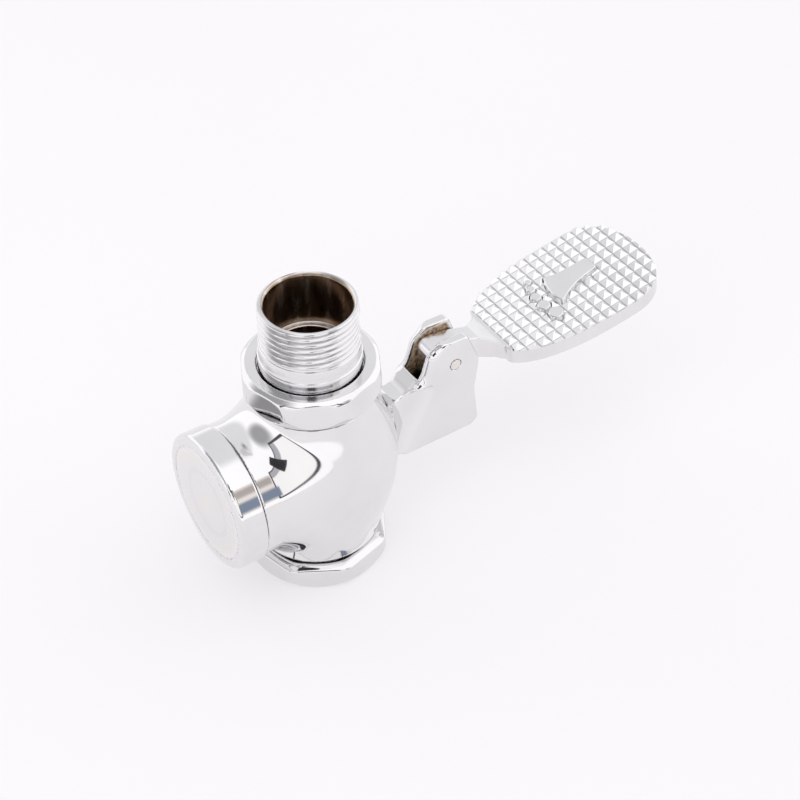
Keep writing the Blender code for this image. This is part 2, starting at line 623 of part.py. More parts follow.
def sole_outline():
    """A plain sole shape for the pictogram, as (length, width), heel towards the pedal's tip."""
    one_side = [(47.8 * MM, -0.5 * MM), (42.0 * MM, -1.1 * MM)]
    one_side += [(38.0 * MM, -1.9 * MM), (33.0 * MM, -3.5 * MM)]
    ball = [(28.2 * MM, -6.0 * MM), (27.3 * MM, -2.5 * MM), (27.8 * MM, 2.6 * MM), (29.7 * MM, 7.3 * MM)]
    other_side = [(33.5 * MM, 6.2 * MM), (40.0 * MM, 5.7 * MM), (47.3 * MM, 5.8 * MM)]
    return one_side + ball + other_side


def on_plate(along, across, above):
    """A point in the plate's own frame, which tilts with it, as x, y, z."""
    x = PLATE_X + along * math.cos(PEDAL_TILT) - above * math.sin(PEDAL_TILT)
    z = PLATE_Z + along * math.sin(PEDAL_TILT) + above * math.cos(PEDAL_TILT)
    return (x, across, z)


def toe(index):
    """One of five round toes of the pictogram, the smallest first, in a row that curves a little."""
    radius = (1.2 + 0.35 * index) * MM
    across = 9.4 - 3.2 * index - 0.35 * index**2
    along = 21.8 + 0.02 * (across + 1.5) ** 2
    place = on_plate(along * MM, across * MM, 0)
    shape = turned("toe_%d" % index, rod_profile(radius, -1.0 * MM, PICTOGRAM_HEIGHT), None, "Z", 12, place)
    shape.rotation_euler = (0, -PEDAL_TILT, 0)
    return shape


def pedal():
    """One casting: lever, and a plate with a turned-down rim and a rib under it."""
    lean = (0, -PEDAL_TILT, 0)
    plate = extruded("pedal", plate_outline(), RIM_DEPTH, on_plate(0, 0, -RIM_DEPTH / 2), lean, CHROME)
    hollow_depth = RIM_DEPTH - PLATE_THICKNESS
    hollow_place = on_plate(0, 0, -PLATE_THICKNESS - hollow_depth)
    hollow = extruded("pedal_hollow", plate_outline(RIM_WALL), 2 * hollow_depth, hollow_place, lean)
    combine(plate, hollow)

    side = extruded("lever", lever_side(), 40.0 * MM, (0, 0, 0), (math.pi / 2, 0, 0))
    plan = extruded("lever_plan", lever_plan(), 80.0 * MM, (0, 0, PLATE_Z))
    combine(side, plan, "INTERSECT")
    combine(plate, side, "UNION")
    rib = box(
        "pedal_rib",
        (-2.0 * MM, -RIB_HALF_WIDTH, -RIM_DEPTH + 0.5 * MM),
        (PLATE_LENGTH - 1.5 * MM, RIB_HALF_WIDTH, -PLATE_THICKNESS + 1.0 * MM),
    )
    along = rib.location.x
    above = rib.location.z
    rib.location = on_plate(along, 0, above)
    rib.rotation_euler = lean
    combine(plate, rib, "UNION")

    sole_thickness = PICTOGRAM_HEIGHT + 1.0 * MM
    sole_place = on_plate(0, 0, PICTOGRAM_HEIGHT - sole_thickness / 2)
    combine(plate, extruded("sole", sole_outline(), sole_thickness, sole_place, lean), "UNION")
    for index in range(5):
        combine(plate, toe(index), "UNION")
    combine(plate, pin_hole("hub_hole"))
    move_origin(plate, (PIN_X, 0, PIN_Z))


def move_origin(obj, place):
    """Put an object's origin on a joint's axis and leave its shape where it is."""
    bpy.context.view_layer.update()
    before = obj.matrix_basis.copy()
    obj.rotation_euler = (0, 0, 0)
    obj.location = place
    bpy.context.view_layer.update()
    obj.data.transform(obj.matrix_basis.inverted() @ before)


def pivot_pin():
    """The pin's ends are flush with the outer faces of the cheeks."""
    half = BRACKET_HALF_WIDTH
    profile = [(0, half), (PIN_R - EDGE, half), (PIN_R, half - EDGE), (PIN_R, EDGE - half)]
    profile += [(PIN_R - EDGE, -half), (0, -half)]
    turned("pivot_pin", profile, STEEL, "Y", COARSE, (PIN_X, 0, PIN_Z))


def smooth_parts():
    """Round shading on every mesh part, with edges kept sharp."""
    for obj in PARTS.objects:
        if obj.type == "MESH":
            for modifier in obj.modifiers:
                if modifier.type == "SCREW":
                    modifier.use_smooth_shade = True
            if obj.data.polygons:
                shade(obj.data)


valve_body()
inlet_nipple()
inlet_gasket()
inlet_nut()
outlet_nut()
outlet_seals()
end_cap()
cap_o_ring()
piston()
bleed_jet()
piston_seals()
valve_seat()
relief_valve()
push_rod()
pedal()
pivot_pin()
smooth_parts()
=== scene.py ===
"""The looks of the foot valve: its polished castings, nuts, thread and knurled pedal.

Shapes are drawn in millimetres about the vertical pipe axis, with x towards the pedal and z up from the
floor, and are put into the frame's metres when a piece is made. A casting is a distance field: a function
that is negative inside the metal. Fields are joined by smooth unions, which gives a casting's fillets, and
surface_of() lays quads on the place where a field is zero.
"""

import json
import math

import bmesh
import bpy
import numpy as np
from mathutils import Matrix, Vector


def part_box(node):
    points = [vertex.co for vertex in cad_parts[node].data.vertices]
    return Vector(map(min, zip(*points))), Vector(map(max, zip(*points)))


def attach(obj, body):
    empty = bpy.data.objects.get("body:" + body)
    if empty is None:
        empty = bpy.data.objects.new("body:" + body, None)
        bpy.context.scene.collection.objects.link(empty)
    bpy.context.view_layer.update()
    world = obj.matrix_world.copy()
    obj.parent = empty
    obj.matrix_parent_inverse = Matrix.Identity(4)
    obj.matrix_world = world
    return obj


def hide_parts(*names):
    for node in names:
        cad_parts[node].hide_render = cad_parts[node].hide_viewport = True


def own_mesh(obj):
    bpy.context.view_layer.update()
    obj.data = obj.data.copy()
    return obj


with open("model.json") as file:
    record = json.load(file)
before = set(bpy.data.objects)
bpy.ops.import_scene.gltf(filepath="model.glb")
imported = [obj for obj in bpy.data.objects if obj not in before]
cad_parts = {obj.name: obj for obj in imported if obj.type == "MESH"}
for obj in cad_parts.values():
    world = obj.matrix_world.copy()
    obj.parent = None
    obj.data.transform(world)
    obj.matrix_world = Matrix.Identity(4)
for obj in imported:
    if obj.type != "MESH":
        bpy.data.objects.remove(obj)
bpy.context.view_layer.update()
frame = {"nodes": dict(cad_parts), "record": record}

MM = 0.001
nipple_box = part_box("inlet_nipple")
PIPE_X = (nipple_box[0].x + nipple_box[1].x) / 2


def box_of(node):
    """A CAD node's lowest and highest corners, in millimetres about the pipe axis."""
    low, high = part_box(node)
    axis = Vector((PIPE_X, 0, 0))
    return (low - axis) / MM, (high - axis) / MM


body_low, body_high = box_of("valve_body")
cap_low, cap_high = box_of("end_cap")
nipple_low, nipple_high = box_of("inlet_nipple")
inlet_nut_low, inlet_nut_high = box_of("inlet_nut")
outlet_nut_high = box_of("outlet_nut")[1]
pin_low, pin_high = box_of("pivot_pin")
rod_low, rod_high = box_of("push_rod")
collar_low, collar_high = box_of("push_rod_collar")

GAP = 0.3  # the clearance that the CAD keeps where pieces touch
CHAMBER_Z = (cap_low.z + cap_high.z) / 2
CAP_R = (cap_high.z - cap_low.z) / 2

# Inlet thread, G 1
THREAD_R = 16.6
THREAD_PITCH = 2.309
THREAD_DEPTH = 1.15
THREAD_END_Z = 95.0
THREAD_FACET = 0.19  # the spacing of the rings that draw it
COLLAR_TOP_Z = 90.0
INLET_BORE_R = 14.3
INLET_STEP_R = 12.0
FLANGE_HIGH_Z = 82.3

# Nuts: the distance from the axis to a flat, and where one flat faces
INLET_NUT_FLAT = 22.8
INLET_NUT_TURN = math.radians(17)
INLET_NUT_CORNER = 24.2
INLET_NUT_LIP = 3.7
INLET_LIP_R = 17.8
OUTLET_NUT_FLAT = 24.0
OUTLET_NUT_TURN = math.radians(14.5)
OUTLET_NUT_CORNER = 25.4
OUTLET_NUT_FLOOR = 1.8
OUTLET_NUT_SHOULDER_Z = 8.4  # the flats lean in above this
SHOULDER_LEAN = 2.0  # the flats lean in by this much for each millimetre up
OUTLET_BORE_R = 16.3

# Barrel of the body
BARREL_LOW_Z = outlet_nut_high.z + GAP
BARREL_LOW_R = 22.0
BARREL_WIDE_Z = 44.0
BARREL_WIDE_R = 28.8
BARREL_TOP_Z = inlet_nut_low.z - GAP
BARREL_TOP_R = 20.4
BARREL_GROOVE = 0.8  # the dark gap over the lower nut is this much wider
INLET_SPIGOT_R = 18.7
OUTLET_SPIGOT_R = 19.6

# Chamber boss, with the cap's thread beyond its face
BOSS_R = 23.8
BOSS_FACE_X = cap_high.x + GAP
BOSS_FILLET = 6.5
CAP_THREAD_R = 21.3
CAP_THREAD_END_X = -25.0
CAP_DISC = 3.2
CAP_BOSS_R = 2.3  # the spring's seat inside the cap
CAP_BOSS_DEPTH = 1.4

# Bores on the chamber's axis: radius, and where each starts and ends along x
CHAMBER_BORE = (19.0, -60.0, 9.3)
SEAT_HOLE = (10.5, 0.0, 14.0)
PLENUM = (11.0, 12.3, 24.3)
ROD_BORE = (2.8, 20.0, 30.0)
GLAND_BORE = (4.2, 27.7, 45.0)
# Water ways about the pipe axis: radius, and where each starts and ends along z
INLET_WAY = (13.0, 56.0, 90.0)
OUTLET_WAY = (OUTLET_BORE_R, -10.0, 20.6)
DROP_WAY = ((12.6, -8.0, 12.0), (20.3, 8.0, CHAMBER_Z))

# Bracket
BRACKET_HALF_WIDTH = pin_high.y
BRACKET_FILLET = 6.0
WEB_HALF_WIDTH = 4.7  # where the bracket is hollowed, beside the barrel
CHEEK_LINE_TOP = (43.7, 52.4)  # the hollow starts at this line on each side, as (x, z)
CHEEK_LINE_FOOT = (32.4, 29.2)
CHEEK_SLOPE = math.radians(35)
HOLLOW_TOP_Z = 57.0
BEAD_RADIUS = 3.0  # the extra rounding of the edge at the slot's closed end
EDGE_RADIUS = 0.7
SLOT_HALF_WIDTH = 4.1
SLOT_START_X = 40.0
SLOT_FLOOR_Z = 34.0
PIN_X = (pin_low.x + pin_high.x) / 2
PIN_Z = (pin_low.z + pin_high.z) / 2
PIN_R = (pin_high.z - pin_low.z) / 2

# Pedal
PEDAL_TILT = math.radians(8.8)
PLATE_X = 73.0
PLATE_Z = 62.6
PLATE_LENGTH = 66.5
PLATE_HALF_WIDTH = 22.0
PLATE_MIDDLE = 46.0  # where the plate is widest, from its straight end
PLATE_NEAR_REACH = 50.0  # the oval would end here if it were not cut straight
PLATE_NECK_HALF = 10.8
PLATE_SQUARENESS = 0.78  # 1 is an ellipse, and less is squarer
PLATE_THICKNESS = 3.5
RIM_DEPTH = 7.5
RIM_WALL = 2.4
LEVER_HALF_WIDTH = SLOT_HALF_WIDTH - GAP
PYRAMID_LENGTH = 4.28
PYRAMID_WIDTH = 4.07  # one row of pyramids is on the plate's middle line
PYRAMID_HEIGHT = 1.6
PYRAMID_TIP = 0.1  # the flat tip's share of the pyramid's width
PYRAMIDS_START = 1.3  # from the plate's straight end
TREAD_BED = -1.0  # top of the plain plate under the pyramids
PICTOGRAM_HEIGHT = 1.2
PICTOGRAM_CLEARANCE = 0.6

# Springs and how far they give way
PISTON_TRAVEL = 7.0
ROD_TRAVEL = 2.9
RELIEF_SPRING_STEM_PART = 5.2  # the stretch that gives way to the stem; the rest to the piston

# Colours. Those of the tent are the light that comes from it, so some are over 1.
CHROME_LIGHT = (0.81, 0.804, 0.812)
CHROME_DARK = (0.775, 0.768, 0.778)
WARM_PLATE = (0.835, 0.815, 0.79)
RING_LIGHT = (0.85, 0.845, 0.85)
RING_WARM = (0.785, 0.77, 0.762)
RING_COOL = (0.785, 0.775, 0.775)
FACET_DARK = (0.84, 0.838, 0.845)
FACET_LIGHT = (0.88, 0.878, 0.885)
# Painted shade: the darker colours laid in the bottoms of grooves, where shade falls
GROOVE_SHADE_DARK = (0.50, 0.50, 0.51)
GROOVE_SHADE_LIGHT = (0.58, 0.58, 0.59)
BRASS_SHADE = (0.16, 0.10, 0.06)
BRASS_LIGHT = (0.62, 0.46, 0.31)
# Painted shade, near black, for the bottom of the lever slot and the gap over the lower nut
DEEP_SHADE_DARK = (0.006, 0.005, 0.004)
DEEP_SHADE_LIGHT = (0.03, 0.022, 0.015)
TENT_WHITE = (1.24, 1.23, 1.24)
TENT_GREY = (0.88, 0.88, 0.895)
SIDE_GREY = (0.42, 0.42, 0.43)
OPENING_EDGE = (0.10, 0.095, 0.10)
OPENING_TOP = (0.52, 0.52, 0.56)
OPENING_INSIDE = (1.16, 1.14, 1.13)
WINDOW_BROWN = (0.52, 0.475, 0.45)
WINDOW_PALE = (1.0, 0.93, 0.87)
WINDOW_BLUE = (0.26, 0.31, 0.41)
FLOOR_GLOW = (0.47, 0.462, 0.473)
FLOOR_DARK = (0.47, 0.463, 0.47)
FLOOR_LIGHT = (0.485, 0.478, 0.485)

# The tent, in degrees of azimuth and elevation
GREY_PANEL = (60, 44)
SIDE_PANEL = (160, 45)
OPENING_AZIMUTH = 238.5
OPENING_HALF_WIDTH = 48.5
OPENING_FRAME = 5  # how much wider the dark edge is than the opening inside it
OPENING_HEIGHTS = (5, 48)
WINDOW = (295, 8)  # beside the opening: its azimuth and half width

# The camera, in metres from the pipe axis
CAMERA_PLACE = (-0.2436, -0.4144, 0.5154)
CAMERA_LINE = (0.4083, 0.6063, -0.6824)
FOCAL_LENGTH = 88.36  # in millimetres, for a sensor 36 mm wide


# ---- distance fields and their surfaces


def smooth_min(a, b, radius):
    """The smaller of two fields, with a fillet where they meet: the union of two solids."""
    near = np.maximum(radius - np.abs(a - b), 0) / radius
    return np.minimum(a, b) - near**3 * radius / 6


def smooth_max(a, b, radius):
    """The larger of two fields, with a rounded edge where they meet: what two solids share."""
    return -smooth_min(-a, -b, radius)


def cut(solid, cutter, radius=0.5):
    return smooth_max(solid, -cutter, radius)


def fillet(a, b, radius):
    """The union of two solids with a round fillet, as a casting has."""
    corner = np.hypot(np.maximum(radius - a, 0), np.maximum(radius - b, 0))
    return np.maximum(radius, np.minimum(a, b)) - corner


def round_edge(a, b, radius):
    """What two solids share, with its edge rounded to an arc."""
    return -fillet(-a, -b, radius)


def rounded(corners, spacing=0.4):
    """A closed outline from (x, y, radius) corners, each corner turned into an arc."""
    path = []
    for i, (x, y, radius) in enumerate(corners):
        here = np.array((x, y))
        back = np.array(corners[i - 1][:2]) - here
        ahead = np.array(corners[(i + 1) % len(corners)][:2]) - here
        back = back / np.hypot(*back)
        ahead = ahead / np.hypot(*ahead)
        angle = math.acos(np.clip(back @ ahead, -1, 1))
        if radius == 0 or math.pi - angle < 0.01:
            path.append((x, y))
            continue
        start = here + back * radius / math.tan(angle / 2)
        middle = (back + ahead) / np.hypot(*(back + ahead))
        centre = here + middle * radius / math.sin(angle / 2)
        sweep = (math.pi - angle) * np.sign(back[1] * ahead[0] - back[0] * ahead[1])
        steps = max(2, math.ceil(abs(sweep) * radius / spacing))
        spoke = complex(*(start - centre))
        for step in range(steps + 1):
            turned = spoke * np.exp(1j * sweep * step / steps)
            path.append((centre[0] + turned.real, centre[1] + turned.imag))
    return path


def outline(points, x, y):
    """The signed distance to a closed outline."""
    shape = np.broadcast(x, y).shape
    nearest = np.full(shape, np.inf)
    inside = np.zeros(shape, bool)
    for (x1, y1), (x2, y2) in zip(points, points[1:] + points[:1]):
        run = x2 - x1
        rise = y2 - y1
        share = np.clip(((x - x1) * run + (y - y1) * rise) / (run**2 + rise**2 + 1e-12), 0, 1)
        nearest = np.minimum(nearest, (x - x1 - share * run) ** 2 + (y - y1 - share * rise) ** 2)
        if rise:
            inside ^= ((y1 > y) != (y2 > y)) & (x < run * (y - y1) / rise + x1)
    return np.where(inside, -1, 1) * np.sqrt(nearest)


def block(x, y, z, low, high):
    """A box between two corners."""
    sides = [np.maximum(a - place, place - b) for place, a, b in zip((x, y, z), low, high)]
    return np.maximum(np.maximum(sides[0], sides[1]), sides[2])


def bar(radius, along, low, high, rounding=0.3):
    """A cylinder, from the distance to its axis and the place along it."""
    return smooth_max(radius, np.maximum(along - high, low - along), rounding)


def from_chamber(y, z):
    """The distance to the chamber's axis."""
    return np.hypot(y, z - CHAMBER_Z)


def slope_of(field, points):
    """The field's gradient at points, by central differences."""
    reach = 0.02
    columns = []
    for axis in range(3):
        offset = np.zeros(3)
        offset[axis] = reach
        columns.append((field(*(points + offset).T) - field(*(points - offset).T)) / (2 * reach))
    return np.stack(columns, axis=1)


def surface_of(field, low, high, step):
    """Vertices, quads and vertex normals of the surface where field is zero, within a box."""
    axes = [np.arange(a - 2 * step, b + 3 * step, step) for a, b in zip(low, high)]
    value = np.broadcast_to(field(*np.meshgrid(*axes, indexing="ij", sparse=True)), [len(a) for a in axes])
    inside = value < 0
    cells = [n - 1 for n in value.shape]
    filled = np.zeros(cells, np.int8)
    for i, j, k in np.ndindex(2, 2, 2):
        filled += inside[i : i + cells[0], j : j + cells[1], k : k + cells[2]]
    crossed = (filled > 0) & (filled < 8)
    number = np.full(cells, -1)
    number[crossed] = np.arange(crossed.sum())
    cell = np.argwhere(crossed)

    # Each vertex starts at the mean of the places where its cell's edges cross the surface.
    total = np.zeros((len(cell), 3))
    hits = np.zeros(len(cell))
    unit = np.eye(3, dtype=int)
    for axis in range(3):
        for i, j in np.ndindex(2, 2):
            corner = cell + i * unit[(axis + 1) % 3] + j * unit[(axis + 2) % 3]
            first = value[tuple(corner.T)]
            second = value[tuple((corner + unit[axis]).T)]
            crossing = (first < 0) != (second < 0)
            share = np.where(crossing, first / np.where(crossing, first - second, 1), 0)
            total += crossing[:, None] * (corner + share[:, None] * unit[axis])
            hits += crossing
    points = np.array([a[0] for a in axes]) + step * total / hits[:, None]

    # Then it is moved down the slope onto the surface itself.
    for _ in range(4):
        slope = slope_of(field, points)
        move = -field(*points.T) / np.maximum((slope**2).sum(1), 0.05)
        points += np.clip(move, -step / 2, step / 2)[:, None] * slope

    quads = []
    for axis in range(3):
        u = unit[(axis + 1) % 3]
        v = unit[(axis + 2) % 3]
        starts = tuple(slice(1 - unit[axis][d], cells[d]) for d in range(3))
        ends = tuple(slice(s.start + unit[axis][d], s.stop + unit[axis][d]) for d, s in enumerate(starts))
        crossing = inside[starts] != inside[ends]
        corner = np.argwhere(crossing) + np.array([s.start for s in starts])
        outward = inside[tuple(corner.T)]
        ring = np.stack([number[tuple((corner - offset).T)] for offset in (0 * u, u, u + v, v)], axis=1)
        quads += [ring[outward], ring[~outward][:, ::-1]]
    normals = slope_of(field, points)
    normals /= np.linalg.norm(normals, axis=1)[:, None]
    return points, np.concatenate(quads), normals


def in_scene(obj):
    bpy.context.scene.collection.objects.link(obj)
    return obj


def make_piece(name, points, faces, body, node, material, normals=None):
    """A mesh object from millimetres about the pipe axis, riding on a body in place of a CAD node."""
    mesh = bpy.data.meshes.new(name)
    mesh.from_pydata((np.asarray(points) * MM + (PIPE_X, 0, 0)).tolist(), [], faces)
    mesh.shade_smooth()
    if normals is not None:
        mesh.normals_split_custom_set_from_vertices(normals.tolist())
    mesh.materials.append(material)
    piece = in_scene(bpy.data.objects.new(name, mesh))
    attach(piece, body)
    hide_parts(node)
    return piece


def surface_piece(name, field, step, body, node, material):
    """A piece whose surface is where a field is zero, with its vertices and their normals."""
    points, quads, normals = surface_of(field, *box_of(node), step)
    piece = make_piece(name, points, quads.tolist(), body, node, material, normals)
    return piece, points, normals


def mark(piece, name, values):
    """Store one number for each vertex, for a material to read."""
    attribute = piece.data.attributes.new(name, "FLOAT", "POINT")
    attribute.data.foreach_set("value", np.asarray(values, np.float32))


# ---- materials


def new_node(tree, kind, inputs):
    """A node whose named inputs are set to values, or linked to the outputs of other nodes."""
    node = tree.nodes.new(kind)
    for name, value in inputs.items():
        if isinstance(value, bpy.types.NodeSocket):
            tree.links.new(value, node.inputs[name])
        else:
            node.inputs[name].default_value = value
    return node


def mixed_colour(tree, factor, first, second):
    """An output that goes from the first colour to the second as factor goes from 0 to 1."""
    node = new_node(tree, "ShaderNodeMix", {"Factor": factor})
    node.data_type = "RGBA"
    for socket, value in zip([s for s in node.inputs if s.type == "RGBA"], (first, second)):
        if isinstance(value, tuple):
            socket.default_value = (*value, 1)
        else:
            tree.links.new(value, socket)
    return [s for s in node.outputs if s.type == "RGBA"][0]


class Finish:
    """A Principled material that is built up a layer at a time."""

    def __init__(self, name, roughness=0.5, metallic=1.0):
        self.material = bpy.data.materials.new(name)
        self.material.use_nodes = True
        self.tree = self.material.node_tree
        self.shader = self.tree.nodes["Principled BSDF"]
        self.shader.inputs["Roughness"].default_value = roughness
        self.shader.inputs["Metallic"].default_value = metallic
        self.place = self.tree.nodes.new("ShaderNodeTexCoord").outputs["Object"]

    def noise(self, size, detail=3.0, stretch=(1, 1, 1)):
        """Noise whose patches are about size metres across, drawn out along an axis by stretch."""
        scale = [1 / (size * s) for s in stretch]
        mapping = new_node(self.tree, "ShaderNodeMapping", {"Scale": scale, "Vector": self.place})
        inputs = {"Scale": 1.0, "Detail": detail, "Vector": mapping.outputs["Vector"]}
        return new_node(self.tree, "ShaderNodeTexNoise", inputs).outputs["Fac"]

    def attribute(self, name):
        node = self.tree.nodes.new("ShaderNodeAttribute")
        node.attribute_name = name
        return node.outputs["Fac"]

    def ramp(self, factor, *stops):
        """A colour ramp from (place, colour) stops."""
        node = new_node(self.tree, "ShaderNodeValToRGB", {"Fac": factor})
        elements = node.color_ramp.elements
        while len(elements) < len(stops):
            elements.new(0.5)
        for element, (place, colour) in zip(elements, stops):
            element.position = place
            element.color = (*colour, 1)
        return node.outputs["Color"]

    def span(self, factor, low, high):
        """The factor's middle stretch, spread from low to high."""
        inputs = {"Value": factor, "From Min": 0.3, "From Max": 0.7, "To Min": low, "To Max": high}
        return new_node(self.tree, "ShaderNodeMapRange", inputs).outputs["Result"]

    def mix(self, factor, first, second):
        return mixed_colour(self.tree, factor, first, second)

    def set(self, socket, value):
        self.tree.links.new(value, self.shader.inputs[socket])

    def look(self, colour, roughness):
        self.set("Base Color", colour)
        self.set("Roughness", roughness)

    def raise_by(self, height, distance, strength=0.5):
        """Bump from a height."""
        inputs = {"Distance": distance, "Strength": strength, "Height": height}
        self.set("Normal", new_node(self.tree, "ShaderNodeBump", inputs).outputs["Normal"])


def polished_chrome(name="polished_chrome", raw=False):
    """Plated and buffed casting. Deep inside, where raw is 1, it is the bare brown brass. Where deep is 1,
    the brass is painted near black as shade.
    """
    finish = Finish(name)
    cloud = finish.noise(0.02, 2.0)
    chrome = finish.ramp(cloud, (0.35, CHROME_DARK), (0.6, CHROME_LIGHT))
    smooth = finish.span(finish.noise(0.006, 3.0), 0.03, 0.08)
    finish.raise_by(finish.noise(0.014, 1.0), 0.00004)
    if not raw:
        finish.look(chrome, smooth)
        return finish.material
    grain = finish.noise(0.0014, 5.0)
    brass = finish.ramp(grain, (0.38, BRASS_SHADE), (0.62, BRASS_LIGHT))
    depth = finish.attribute("raw")
    # Painted shade: near black where the deep mark is 1, in place of the darkness in the slot and the gap
    deep_shade = finish.ramp(grain, (0.3, DEEP_SHADE_DARK), (0.7, DEEP_SHADE_LIGHT))
    inside = finish.mix(finish.attribute("deep"), brass, deep_shade)
    rough = finish.span(grain, 0.4, 0.65)
    finish.look(finish.mix(depth, chrome, inside), finish.mix(depth, smooth, rough))
    finish.set("Metallic", finish.ramp(depth, (0.2, (1, 1, 1)), (0.8, (0.35, 0.35, 0.35))))
    return finish.material


def machined_chrome():
    """Plated after turning, so fine tool marks run round the thread and the collar. The bore is bare. The
    thread's valleys are painted darker as shade.
    """
    finish = Finish("machined_chrome")
    turning = finish.noise(0.0004, 2.0, (30, 30, 1))
    crest = finish.ramp(turning, (0.3, CHROME_DARK), (0.6, CHROME_LIGHT))
    # Painted shade for the thread's valleys, mixed in where the groove mark is high
    valley_shade = finish.ramp(turning, (0.3, GROOVE_SHADE_DARK), (0.6, GROOVE_SHADE_LIGHT))
    chrome = finish.mix(finish.attribute("groove"), crest, valley_shade)
    bore = finish.noise(0.0035, 4.0, (1, 1, 6))
    stains = ((0.35, (0.30, 0.21, 0.14)), (0.55, (0.42, 0.31, 0.22)), (0.72, (0.72, 0.64, 0.56)))
    brown = finish.ramp(bore, *stains)
    depth = finish.attribute("raw")
    rough = finish.mix(depth, finish.span(turning, 0.12, 0.22), finish.span(bore, 0.16, 0.3))
    finish.look(finish.mix(depth, chrome, brown), rough)
    finish.raise_by(turning, 0.00001)
    return finish.material


def faced_chrome():
    """The cap: its side is buffed, and its satin face keeps faint rings from the turning."""
    finish = Finish("faced_chrome")
    face = finish.attribute("face")
    rings = finish.ramp(
        finish.attribute("reach"),
        (0.0, WARM_PLATE), (0.42, CHROME_LIGHT), (0.48, RING_WARM), (0.54, CHROME_LIGHT),
        (0.74, WARM_PLATE), (0.80, RING_LIGHT), (0.84, RING_COOL), (0.88, CHROME_LIGHT),
    )
    cloud = finish.noise(0.016, 3.0)
    side = finish.ramp(cloud, (0.35, CHROME_DARK), (0.6, CHROME_LIGHT))
    rough = finish.mix(face, finish.span(cloud, 0.04, 0.07), finish.span(cloud, 0.26, 0.31))
    finish.look(finish.mix(face, side, rings), rough)
    return finish.material


def cast_chrome():
    """The pedal: plated over a cast surface, which leaves it softer than the body."""
    finish = Finish("cast_chrome")
    pits = finish.noise(0.0009, 5.0)
    cloud = finish.noise(0.012, 3.0)
    chrome = finish.ramp(cloud, (0.35, CHROME_DARK), (0.65, CHROME_LIGHT))
    finish.look(chrome, finish.span(finish.noise(0.005, 4.0), 0.14, 0.24))
    finish.raise_by(pits, 0.00003, 0.3)
    return finish.material


def knurled_chrome():
    """The pyramids: brighter than the plate, as shoes and buffing keep them polished. The grooves between
    them are painted darker as shade.
    """
    finish = Finish("knurled_chrome")
    wear = finish.noise(0.004, 3.0)
    facets = finish.ramp(wear, (0.35, FACET_DARK), (0.65, FACET_LIGHT))
    # Painted shade: the darker colour laid in the bottoms of the grooves between the pyramids
    groove_shade = finish.ramp(wear, (0.35, GROOVE_SHADE_DARK), (0.65, GROOVE_SHADE_LIGHT))
    groove = finish.ramp(finish.attribute("groove"), (0.84, (0, 0, 0)), (0.95, (1, 1, 1)))
    finish.look(finish.mix(groove, facets, groove_shade), finish.span(wear, 0.05, 0.10))
    return finish.material


def turned_brass():
    finish = Finish("turned_brass")
    turning = finish.noise(0.0005, 3.0, (1, 24, 24))
    colour = finish.ramp(turning, (0.3, (0.50, 0.35, 0.15)), (0.7, (0.72, 0.54, 0.28)))
    finish.look(colour, finish.span(turning, 0.22, 0.4))
    finish.raise_by(turning, 0.00002)
    return finish.material


def drawn_steel():
    finish = Finish("drawn_steel")
    drawn = finish.noise(0.0006, 3.0, (1, 16, 1))
    colour = finish.ramp(drawn, (0.3, (0.74, 0.70, 0.66)), (0.7, (0.86, 0.83, 0.80)))
    finish.look(colour, finish.span(drawn, 0.18, 0.34))
    finish.raise_by(drawn, 0.00001)
    return finish.material


def black_rubber():
    finish = Finish("moulded_rubber", metallic=0.0)
    bloom = finish.noise(0.003, 4.0)
    black = finish.ramp(bloom, (0.3, (0.018, 0.018, 0.02)), (0.75, (0.055, 0.055, 0.058)))
    finish.look(black, finish.span(bloom, 0.5, 0.75))
    finish.raise_by(finish.noise(0.0005, 3.0), 0.00003)
    return finish.material


# ---- the body casting


def barrel(x, y, z):
    """Two swelling curves that meet at the barrel's widest height."""
    up = np.clip((BARREL_TOP_Z - z) / (BARREL_TOP_Z - BARREL_WIDE_Z), 0, 1)
    down = np.clip((BARREL_WIDE_Z - z) / (BARREL_WIDE_Z - BARREL_LOW_Z), 0, 1)
    upper = BARREL_TOP_R + (BARREL_WIDE_R - BARREL_TOP_R) * np.sin(up * math.pi / 2) ** 1.2
    lower = BARREL_LOW_R + (BARREL_WIDE_R - BARREL_LOW_R) * np.cos(down * math.pi / 2) ** 1.35
    return np.hypot(x, y) - np.where(z > BARREL_WIDE_Z, upper, lower)


BRACKET_SIDE = rounded([
    (20.0, 29.6, 0), (61.6, 29.6, 2.5), (63.9, 32.0, 1.5), (62.1, 47.0, 20), (63.8, 60.0, 8),
    (58.6, 72.6, 2.5), (49.0, 72.9, 6), (43.2, 69.4, 5), (40.6, 60.6, 6), (34.6, 55.4, 9), (20.0, 52.0, 0),
])


def side_hollow(x, y, z):
    """The hollow on each side between barrel and cheek, which leaves a thin web."""
    run = CHEEK_LINE_TOP[0] - CHEEK_LINE_FOOT[0]
    rise = CHEEK_LINE_TOP[1] - CHEEK_LINE_FOOT[1]
    behind_line = (z - CHEEK_LINE_TOP[1]) * run - (x - CHEEK_LINE_TOP[0]) * rise
    behind_line = behind_line / math.hypot(run, rise)
    inset = BRACKET_HALF_WIDTH - np.abs(y)
    slope = behind_line * math.cos(CHEEK_SLOPE) - inset * math.sin(CHEEK_SLOPE)
    hollow = round_edge(-slope, WEB_HALF_WIDTH - np.abs(y), 2.5)
    return round_edge(hollow, z - HOLLOW_TOP_Z, 2.5)


def bracket(x, y, z):
    """A plate with sharp edges, except at the slot's closed end, where its edge is a fat round bead."""
    side = outline(BRACKET_SIDE, x, z)
    bead = BEAD_RADIUS * np.interp(x, [46, 51], [1, 0]) * np.interp(z, [55, 58.5], [0, 1])
    plate = round_edge(side, np.abs(y) - BRACKET_HALF_WIDTH, EDGE_RADIUS + bead)
    return cut(plate, side_hollow(x, y, z), 1.6)


